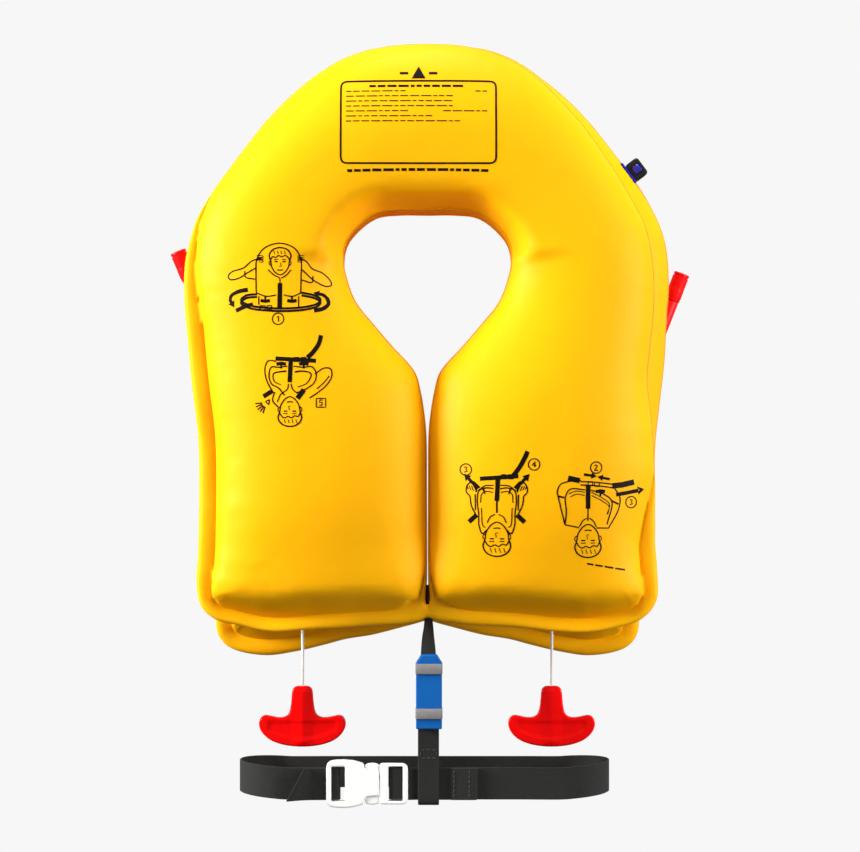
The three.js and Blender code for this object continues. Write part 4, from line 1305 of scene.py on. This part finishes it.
def make_belt():
    """Two halves that pass through the buckle, and the stretch behind that joins them."""
    left_end = node_box("belt_left")[0][0] + WEB_THICKNESS / 2
    right_end = node_box("belt_right")[1][0] - WEB_THICKNESS / 2
    tail = on_belt([(-110.5, -46.9), (-107, -45.9), (-103, -44.6), (-98, -43.2), (-92, -42),
                    (-85, -41.5), (-78, BUCKLE_Y - PLY)])
    left_line = smooth_line(
        tail + fold_round(LEFT_BAR, 1)
        + on_belt([(-78, BUCKLE_Y + PLY), (-84, -37.2), (-92, BELT_FRONT_Y)])
        + belt_end(left_end, -1)[::2] + behind(-BLEND_HALF - BLEND_RUN, -BLEND_HALF, 8), 1.6)
    left = webbing("belt_left_webbing", left_line, BELT_WIDTH)
    slant_tail(left)
    right_line = smooth_line(
        on_belt([(28.6, -39.9), (10, -39.9), (-9, -39.9), (-15, BUCKLE_Y - PLY + 0.4),
                 (-20, BUCKLE_Y - PLY)])
        + fold_round(RIGHT_BAR, -1)
        + on_belt([(-20, BUCKLE_Y + PLY), (-15, BUCKLE_Y + PLY - 0.4), (-9, BELT_FRONT_Y),
                   (30, BELT_FRONT_Y), (70, BELT_FRONT_Y)])
        + belt_end(right_end, 1)[::2] + behind(BLEND_HALF + BLEND_RUN, BLEND_HALF, 8), 1.6)
    right = webbing("belt_right_webbing", right_line, BELT_WIDTH)
    dress(left, WEBBING, "belt_left")
    dress(right, WEBBING, "belt_right")
    middle = webbing("belt_back_webbing", behind(-BLEND_HALF, BLEND_HALF, 60), BELT_WIDTH)
    middle.data.materials.append(WEBBING)
    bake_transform(middle)

    low, high = node_box("belt_sewn_end")
    x0, x1, y = low[0] - 6, high[0], HEM_Y
    hem_line = smooth_line([(x0 - 4, y + 0.2, BELT_Z), (x1 - 4, y, BELT_Z), (x1 - 0.6, y + 0.5, BELT_Z),
                            (x1 - 0.4, y + 1.6, BELT_Z), (x1 - 2, y + 1.75, BELT_Z)], 0.7)
    dress(webbing("belt_hem", hem_line, BELT_WIDTH), WEBBING, "belt_sewn_end")
    face = y - WEB_THICKNESS / 2 - THREAD_PROUD
    half = BELT_WIDTH / 2 - 1.5
    rows = [((x, face, BELT_Z - half), (x, face, BELT_Z + half)) for x in (x0 - 2, x1 - 6)]
    dress(stitches("belt_hem_stitching", rows), THREAD, body="belt_right_half", slot="webbing")


make_belt()


STRAP_WIDTH = 16.6
STRAP_X = 0.8
STRAP_TOP = (-34.5, -258.5)
STRAP_FRONT_Y = -42.4
STRAP_BEND = (-39.1, -402.8)    # Y and Z of the middle of its turn below the belt
STRAP_BEND_RADIUS = 3.3


def strap_turn(z):
    """How far the strap has turned at a height, from nearly edge on to face on."""
    return math.asin(min(1.0, 0.27 + 0.0136 * max(0.0, STRAP_TOP[1] - z)))


def make_strap():
    """Down the front, round the belt and up behind itself, with its stitching and its anchor."""
    heights = list(np.arange(STRAP_TOP[1], -294, -1.5)) + list(np.arange(-294, -403, -3.0))
    line, across = [], []
    for z in heights:
        t = min(1, max(0, (-z - 268) / 25))
        turn = strap_turn(z)
        line.append((STRAP_X, STRAP_TOP[0] + (STRAP_FRONT_Y - STRAP_TOP[0]) * eased(t), z))
        across.append((math.sin(turn), math.cos(turn), 0))
    for k in range(1, 10):
        angle = math.pi * k / 10
        line.append((STRAP_X, STRAP_BEND[0] - STRAP_BEND_RADIUS * math.cos(angle),
                     STRAP_BEND[1] - STRAP_BEND_RADIUS * math.sin(angle)))
    for y, z in [(-35.8, -400), (-35.8, -392), (-35.8, -384), (-36.2, -378), (-38.2, -373.5),
                 (-40.2, -370), (-40.7, -366), (-40.75, -361)]:
        line.append((STRAP_X, y, z))
    across += [(1, 0, 0)] * (len(line) - len(across))
    dress(webbing("centre_strap_webbing", line, STRAP_WIDTH, across), WEBBING, "centre_strap")
    face = STRAP_FRONT_Y - WEB_THICKNESS / 2 - THREAD_PROUD
    half = STRAP_WIDTH / 2 - 2
    corners = [(STRAP_X - half, -363), (STRAP_X + half, -363), (STRAP_X + half, -369.5),
               (STRAP_X - half, -369.5)]
    rows = [((a[0], face, a[1]), (b[0], face, b[1])) for a, b in zip(corners, corners[1:] + corners[:1])]
    dress(stitches("centre_strap_stitching", rows), THREAD, body="strap", slot="webbing")

    low, high = node_box("strap_anchor_tab")
    x, y = (low[0] + high[0]) / 2, (low[1] + high[1]) / 2
    tab_line = [(x, y, z) for z in np.linspace(high[2], low[2] - 4, 12)]
    tab = webbing("strap_anchor_webbing", tab_line, high[1] - low[1], [(0.24, 0.97, 0)] * 12)
    dress(tab, WEBBING, "strap_anchor_tab")


make_strap()


# ---- moulded plates that face the viewer --------------------------------------------------------

def rounded_edge(edge, half, radius):
    """Height of a plate's face at a distance from its edge, with the edge rounded over."""
    inner = np.clip(edge, 0, radius)
    return half - radius + np.sqrt(np.maximum(radius ** 2 - (radius - inner) ** 2, 0))


PLATE_RINGS = (0.04, 0.16, 0.4, 0.75, 1.2, 1.9)


def plate(outer, holes, step):
    """An outline and holes as a sheet whose edge depth is in millimetres."""
    outer = anticlockwise(np.array(outer))
    holes = [anticlockwise(np.array(hole)) for hole in holes]
    widths = [np.ones(len(loop)) for loop in [outer, *holes]]
    return Sheet(outer, holes, widths, PLATE_RINGS, step)


def closed_solid(sheet, name, front, back):
    """A plate's solid, closed at its edge halfway between its faces."""
    middle = (front + back) / 2
    front, back = front.copy(), back.copy()
    front[:sheet.rim] = back[:sheet.rim] = middle[:sheet.rim]
    return sharpened(sheet.solid(name, front, back), 45)


HANDLE_HALF = 6.0               # half the depth that its rounded edge would reach
HANDLE_FACE = 4.6               # half its depth, where its face is cut flat
HANDLE_ROUND = 4.0              # radius of its edge
PANEL_DEEP = 0.9                # depth and half width of the shallow panel
PANEL_HALF = 27.5


def make_handle(side):
    """A T-shaped grip with a ridge down its middle and a shallow panel across its wings."""
    node = f"jerk_handle_{side}"
    low, high = node_box(node)
    x0, y0, top = (low[0] + high[0]) / 2, (low[1] + high[1]) / 2, high[2]
    half_outline = [(0, 0), (4.6, -0.2), (7.2, -1.8), (8.2, -4.8), (8.6, -10), (9.3, -16),
                    (10.2, -20), (12, -23.2), (15.5, -24.8), (20, -24.9), (25, -23.9), (29.6, -23.2),
                    (32.8, -24.8), (34.4, -28.4), (34.2, -32.5), (31.6, -37.6), (25.6, -42.8),
                    (17, -46.2), (8, -47.8), (0, -48.2)]
    outline = smooth_line(mirrored([(-x, z) for x, z in half_outline]), 1.4, closed=True)
    sheet = plate(outline + np.array([x0, top]), [], 1.5)
    x, z = np.abs(sheet.points[:, 0] - x0), sheet.points[:, 1] - top
    height = rounded_edge(sheet.edge, HANDLE_HALF, HANDLE_ROUND)
    crest = 0.2 * np.maximum(0, 9 - x) * np.clip(sheet.edge / 4, 0, 1)
    panel_x = np.clip((PANEL_HALF - x) / 1.2, 0, 1)
    panel_z = np.clip((z + 42 - 0.01 * x ** 2) / 1.0, 0, 1) * np.clip((-28 - z) / 1.0, 0, 1)
    recess = PANEL_DEEP * panel_x * panel_z
    height = np.minimum(height, HANDLE_FACE) + crest - recess * np.clip(sheet.edge / 2.5, 0, 1)
    handle = closed_solid(sheet, f"{node}_grip", y0 - height, y0 + height)
    dress(handle, RED, node)


for handle_side in SIDES:
    make_handle(handle_side)


# ---- buckle -------------------------------------------------------------------------------------

SLOT_HALF = 13.6
PLUG_BODY_X = -37.6             # where the plug's own body starts, past its tongue and arms
FRAME_SKIN = 1.5                # the frame's border in front of the webbing that leaves its slot


def belt_slot(left, right):
    """The opening in a buckle half that the belt goes through."""
    return polygon([(left, BELT_Z - SLOT_HALF), (right, BELT_Z - SLOT_HALF),
                    (right, BELT_Z + SLOT_HALF), (left, BELT_Z + SLOT_HALF)], 1.0, 1.2)


def buckle_half(name, node, upper_half, corner, slot, edge_x, sign, half, radius):
    """A moulding of full depth from its outline's upper half, but thin beyond its slot."""
    loop = upper_half + [(x, -z) for x, z in reversed(upper_half)]
    outer = polygon([(x, z + BELT_Z) for x, z in loop], corner, 1.2)
    sheet = plate(outer, [slot], 1.5)
    x, z = sheet.points.T
    height = rounded_edge(sheet.edge, half, radius)
    border = (sign * (x - edge_x) > 0) & (np.abs(z - BELT_Z) < SLOT_HALF)
    back = np.where(border, BUCKLE_Y - half + FRAME_SKIN, BUCKLE_Y + height)
    dress(closed_solid(sheet, name, BUCKLE_Y - height, back), WHITE, node)


def make_buckle_socket():
    """The half with the openings that the arms' pads look out of."""
    low, high = node_box("buckle_socket")
    left, right = low[0], high[0]
    top_half = [(left, 12), (left + 0.6, 15.6), (left + 3.4, 17.8), (left + 8, 18.5),
                (left + 15, 18.7), (left + 22, 17.9), (left + 27, 16.5), (left + 29.4, 15.6),
                (left + 29.8, 12.6), (left + 31.6, 10.2), (left + 36, 9.6), (right - 0.5, 9.4),
                (right, 9)]
    buckle_half("buckle_socket_moulding", "buckle_socket", top_half, 1.4,
                belt_slot(left + 4, left + 14.8), left + 4.4, -1, 5.0, 1.3)


def make_buckle_plug():
    """The half that goes into the socket, with the tongue that guides it."""
    low, high = node_box("buckle_plug")
    left, right = PLUG_BODY_X, high[0]
    top_half = [(left, 15.2), (left + 2, 15.9), (right - 3.5, 15.9), (right - 0.8, 14.6), (right, 12)]
    buckle_half("buckle_plug_moulding", "buckle_plug", top_half, 2.0,
                belt_slot(right - 15.4, right - 4), right - 4.4, 1, 4.5, 1.2)
    tongue_outline = polygon([(left + 3, BELT_Z - 3.5), (left + 3, BELT_Z + 3.5),
                              (low[0] + 1.5, BELT_Z + 3.5), (low[0], BELT_Z + 2),
                              (low[0], BELT_Z - 2), (low[0] + 1.5, BELT_Z - 3.5)], 1.0, 1.0)
    tongue_sheet = plate(tongue_outline, [], 1.5)
    height = rounded_edge(tongue_sheet.edge, 2.2, 0.6)
    tongue = closed_solid(tongue_sheet, "buckle_plug_tongue", BUCKLE_Y - height, BUCKLE_Y + height)
    dress(tongue, WHITE, body="belt_right_half", slot="buckle_plastic")


def make_buckle_arm(name, sign):
    """An arm inside the socket, with the oval pad that is pinched to let it go."""
    low, high = node_box(name)
    root = high[0]
    arm = [(low[0], 9.2), (low[0] + 1.5, 8.6), (root, 8.9), (root, 14.6), (root - 1.2, 15.6),
           (root - 5, 16.3), (root - 9.6, 15.7), (root - 11.1, 14), (root - 11, 12.2),
           (low[0] + 1, 12.1)]
    outline = polygon([(x, BELT_Z + sign * z) for x, z in arm], 0.9, 1.0)
    sheet = plate(outline, [], 1.4)
    height = rounded_edge(sheet.edge, 2.5, 1.0)
    pad = closed_solid(sheet, f"{name}_pad", BUCKLE_Y - height - 1.2, BUCKLE_Y + height)
    dress(pad, WHITE, name)


make_buckle_socket()
make_buckle_plug()
for arm_name, arm_sign in (("buckle_arm_upper", 1), ("buckle_arm_lower", -1)):
    make_buckle_arm(arm_name, arm_sign)


# ---- battery ------------------------------------------------------------------------------------

GROOVE = 0.35                   # depth and width of the lines where the case's caps meet it
BAND_PROUD = 0.4                # how far the elastic stands out beside the case
BAND_WALL = 0.5
BAND_CORNER = 1.2


def make_battery():
    """The case with its tapered top and two cap lines, and its bands."""
    low, high = node_box("battery_case")
    left, right, bottom, top = low[0], high[0], low[2], high[2]
    middle = (low[1] + high[1]) / 2
    outline = polygon([(left, bottom), (right, bottom), (right, top - 6.5), (right - 4.2, top),
                       (left + 4.2, top), (left, top - 6.5)], 1.0, 1.6)
    sheet = plate(outline, [], 1.8)
    z = sheet.points[:, 1]
    height = rounded_edge(sheet.edge, (high[1] - low[1]) / 2, 1.1)
    lines = [np.exp(-((z - level) / GROOVE) ** 2) for level in (bottom + 4.5, top - 9.5)]
    front = middle - height + GROOVE * sum(lines) * np.clip(sheet.edge, 0, 1)
    case = closed_solid(sheet, "battery_case_moulding", front, middle + height)
    dress(case, BLUE, "battery_case")
    for level in ("upper", "lower"):
        make_band(f"battery_band_{level}")


def make_band(node):
    """An elastic loop round the case and the strap."""
    low, high = node_box(node)
    case_low, case_high = node_box("battery_case")
    low[0], high[0] = case_low[0] - BAND_PROUD, case_high[0] + BAND_PROUD
    section = [(0.2, low[2]), (0, low[2] + 0.4), (0, high[2] - 0.4), (0.2, high[2]),
               (BAND_WALL, high[2]), (BAND_WALL, low[2])]
    vertices = []
    for inset, z in section:
        corners = [(low[0] + inset, low[1] + inset), (high[0] - inset, low[1] + inset),
                   (high[0] - inset, high[1] - inset), (low[0] + inset, high[1] - inset)]
        for i, corner in enumerate(corners):
            rounded = rounded_corner(corners[i - 1], corner, corners[(i + 1) % 4], BAND_CORNER)
            vertices += [(*spot, z) for spot in rounded]
    around = skin(len(section) + 1, len(vertices) // len(section), capped=False)
    faces = [tuple(i % len(vertices) for i in face) for face in around]
    band = mesh_object(f"{node}_elastic", np.array(vertices) * MM, faces)
    dress(sharpened(band, 40), GREY_BAND, node)


make_battery()


# ---- survivor light -----------------------------------------------------------------------------

PRESSED_IN = (-2.6, 0, -2.2)    # the cell's edge gives way behind the light
BASE_PRESSED_IN = (-3.2, 0, -0.8)
rounded_copy("light_base_moulding", "light_base_plate", BLUE_DEEP, 0.4, shift=BASE_PRESSED_IN,
             scale=0.8)
rounded_copy("light_housing_moulding", "light_housing", BLACK, 1.5, 4, shift=PRESSED_IN)
rounded_copy("light_window", "light_lens", LENS, 0.6, shift=PRESSED_IN)


# ---- oral tubes ---------------------------------------------------------------------------------

TUBE_RUN = 79.0                 # from the tube's foot to its end, and to the mouthpiece's start
MOUTH_RUN = 79.2
MOUTH_LENGTH = 24.0
VALVE_FACE = 12                 # from the mouthpiece's start to the poppet's spring side
VALVE_SPRING = (3.3, 0.4)       # radius, and the share of its length that is left when pressed
PIERCING_SPRING = (2.7, 0.25)


def make_oral_tube(side):
    """The red tube and its mouthpiece, turned about the line that the CAD's own pieces give."""
    behaviour = frame["record"]["behaviour"]
    press = next(j for j in behaviour["joints"] if j["name"] == f"valve_press_{side}")
    flex = next(j for j in behaviour["joints"] if j["name"] == f"oral_tube_flex_{side}")
    along = -Vector(press["axis"])
    start = Vector(flex["pos_m"]) / MM
    ribs = [(6.2 - 0.25 * (k % 2), 3 + 1.5 * k) for k in range(9)]
    tube = [(4.2, 0), (6.0, 0), (6.2, 0.6), *ribs, (6.2, 18), (6.2, TUBE_RUN - 0.5),
            (6.0, TUBE_RUN - 0.1), (4.2, TUBE_RUN - 0.1), (4.2, 0)]
    dress(turned(f"oral_tube_{side}_hose", tube, start, along), RED_SOFT, f"oral_tube_{side}")
    m, end = MOUTH_RUN, MOUTH_RUN + MOUTH_LENGTH
    grip = [(6.6 + (0.35 if k % 2 else 0), m + 3 + 1.1 * k) for k in range(7)]
    piece = [(2.6, m), (6.2, m), (6.6, m + 0.5), *grip, (6.6, m + 11), (6.6, end - 3.2),
             (6.0, end - 2.8), (6.0, end - 2.0), (6.6, end - 1.6), (6.5, end - 0.4), (6.2, end),
             (5.2, end), (5, end - 0.4), (5, m + 6), (2.6, m + 3), (2.6, m)]
    dress(turned(f"mouthpiece_{side}_moulding", piece, start, along), RED_SOFT, f"mouthpiece_{side}")
    face = m + VALVE_FACE
    poppet = [(0, m + 1), (1.2, m + 1), (1.2, face), (4.0, face), (4.4, m + 12.4), (4.4, m + 14.6),
              (4.0, m + 15.2), (1.8, m + 16), (1.8, m + 19.6), (1.4, m + 20), (0, m + 20)]
    dress(turned(f"valve_poppet_{side}_moulding", poppet, start, along), RED_SOFT,
          f"valve_poppet_{side}")
    make_spring(f"valve_spring_{side}", press["name"], start + along * face, -along, *VALVE_SPRING)


for tube_side in SIDES:
    make_oral_tube(tube_side)


# ---- inflators ----------------------------------------------------------------------------------

def make_cylinder(side, sign):
    """A gas cylinder with its drawn neck, rounded base and crimped ring."""
    node = f"co2_cylinder_{side}"
    low, high = node_box(node)
    y, z = (low[1] + high[1]) / 2, (low[2] + high[2]) / 2
    start = (low[0] if sign > 0 else high[0], y, z)
    run = high[0] - low[0]
    radius = (high[1] - low[1]) / 2
    profile = [(0, 5), (2.9, 5), (2.9, 0.6), (3.2, 0), (4.6, 0), (5, 0.4), (5, 8.4), (5.6, 9),
               (6.9, 10.6), (8.3, 13), (radius - 0.2, 15.4), (radius, 17), (radius, run - 9),
               (radius - 0.25, run - 6.5), (radius - 1.3, run - 4), (radius - 3.2, run - 1.8),
               (radius - 5.8, run - 0.5), (2, run), (0, run)]
    dress(turned(f"{node}_shell", profile, start, (sign, 0, 0), 56), STEEL, node)


def make_piercing_spring(side, sign):
    """The spring that the lever's pin works against, from the lever's side."""
    node = f"piercing_spring_{side}"
    low, high = node_box(node)
    start = (low[0] if sign > 0 else high[0], (low[1] + high[1]) / 2, (low[2] + high[2]) / 2)
    make_spring(node, f"piercing_pin_slide_{side}", start, (sign, 0, 0), *PIERCING_SPRING)


for inflator_side, inflator_sign in (("left", 1), ("right", -1)):
    make_cylinder(inflator_side, inflator_sign)
    make_piercing_spring(inflator_side, inflator_sign)
    body_node, lever_node = (f"inflator_{part}_{inflator_side}" for part in ("body", "lever"))
    rounded_copy(f"{body_node}_moulding", body_node, BLACK)
    rounded_copy(f"{lever_node}_moulding", lever_node, BLACK, 0.5)
    rounded_copy(f"inflator_nut_{inflator_side}", f"inflator_cap_nut_{inflator_side}", NICKEL, 0.4)


def paint_carried_nodes():
    """CAD pieces whose shape is right keep it, and get a finished material."""
    looks = {"steel": STEEL, "nickel": NICKEL, "rubber_flange": RUBBER, "tube_flange": FLANGE,
             "battery_plates": BLACK}
    for node, obj in frame["nodes"].items():
        if obj.hide_render:
            continue
        material = looks[NODE_SLOT[node]]
        for slot in obj.material_slots:
            slot.material = material


paint_carried_nodes()


# ---- stage ----------------------------------------------------------------------------------

PALE = 0.930
AMBIENT_BELOW, AMBIENT_ABOVE = 0.10, 0.73
FLOOR_Z = -0.62
LIGHT_AIM = (0, 0, -0.05)


def make_world():
    """A pale backdrop that lights the vest less than it shows behind it."""
    world = bpy.data.worlds.new("studio")
    world.use_nodes = True
    tree = world.node_tree
    backdrop = tree.nodes["Background"]
    backdrop.inputs["Color"].default_value = (PALE, PALE, PALE, 1)
    glow = tree.nodes.new("ShaderNodeBackground")
    glow.inputs["Color"].default_value = (1, 1, 1, 1)
    direction = tree.nodes.new("ShaderNodeTexCoord")
    height = tree.nodes.new("ShaderNodeSeparateXYZ")
    level = tree.nodes.new("ShaderNodeMapRange")
    level.inputs["From Min"].default_value = -1
    level.inputs["To Min"].default_value = AMBIENT_BELOW
    level.inputs["To Max"].default_value = AMBIENT_ABOVE
    tree.links.new(direction.outputs["Generated"], height.inputs[0])
    tree.links.new(height.outputs["Z"], level.inputs["Value"])
    tree.links.new(level.outputs[0], glow.inputs["Strength"])
    seen = tree.nodes.new("ShaderNodeLightPath")
    choice = tree.nodes.new("ShaderNodeMixShader")
    tree.links.new(seen.outputs["Is Camera Ray"], choice.inputs[0])
    tree.links.new(glow.outputs[0], choice.inputs[1])
    tree.links.new(backdrop.outputs[0], choice.inputs[2])
    tree.links.new(choice.outputs[0], tree.nodes["World Output"].inputs["Surface"])
    bpy.context.scene.world = world
    bpy.context.scene.view_settings.view_transform = "Standard"


def make_stage():
    """A wide floor in the backdrop's own shade that takes and gives no light."""
    floor = mesh_object("floor", [(-20, -20, FLOOR_Z), (20, -20, FLOOR_Z), (20, 40, FLOOR_Z),
                                  (-20, 40, FLOOR_Z)], [(0, 1, 2, 3)])
    paper = bpy.data.materials.new("floor_paper")
    paper.use_nodes = True
    shader = paper.node_tree.nodes["Principled BSDF"]
    shader.inputs["Base Color"].default_value = (0, 0, 0, 1)
    shader.inputs["Specular IOR Level"].default_value = 0
    shader.inputs["Emission Color"].default_value = (PALE, PALE, PALE, 1)
    shader.inputs["Emission Strength"].default_value = 1.0
    floor.data.materials.append(paper)
    for ray in ("diffuse", "glossy", "transmission", "shadow"):
        setattr(floor, f"visible_{ray}", False)


def area_light(name, at, size, power, gloss):
    """A round lamp aimed at the vest; gloss is how much of it shows in shiny things."""
    data = bpy.data.lights.new(name, "AREA")
    data.specular_factor = gloss
    data.shape = "DISK"
    data.size = size
    data.energy = power
    lamp = bpy.data.objects.new(name, data)
    lamp.location = at
    lamp.rotation_euler = (Vector(LIGHT_AIM) - Vector(at)).to_track_quat("-Z", "Y").to_euler()
    bpy.context.scene.collection.objects.link(lamp)


make_world()
make_stage()
area_light("key_left", (-2.25, -0.60, 0.50), size=0.8, power=115, gloss=0.5)
area_light("fill_right", (2.15, -0.85, 0.20), size=1.0, power=52, gloss=0.2)
area_light("top", (0, -0.50, 2.30), size=1.2, power=50, gloss=0.2)
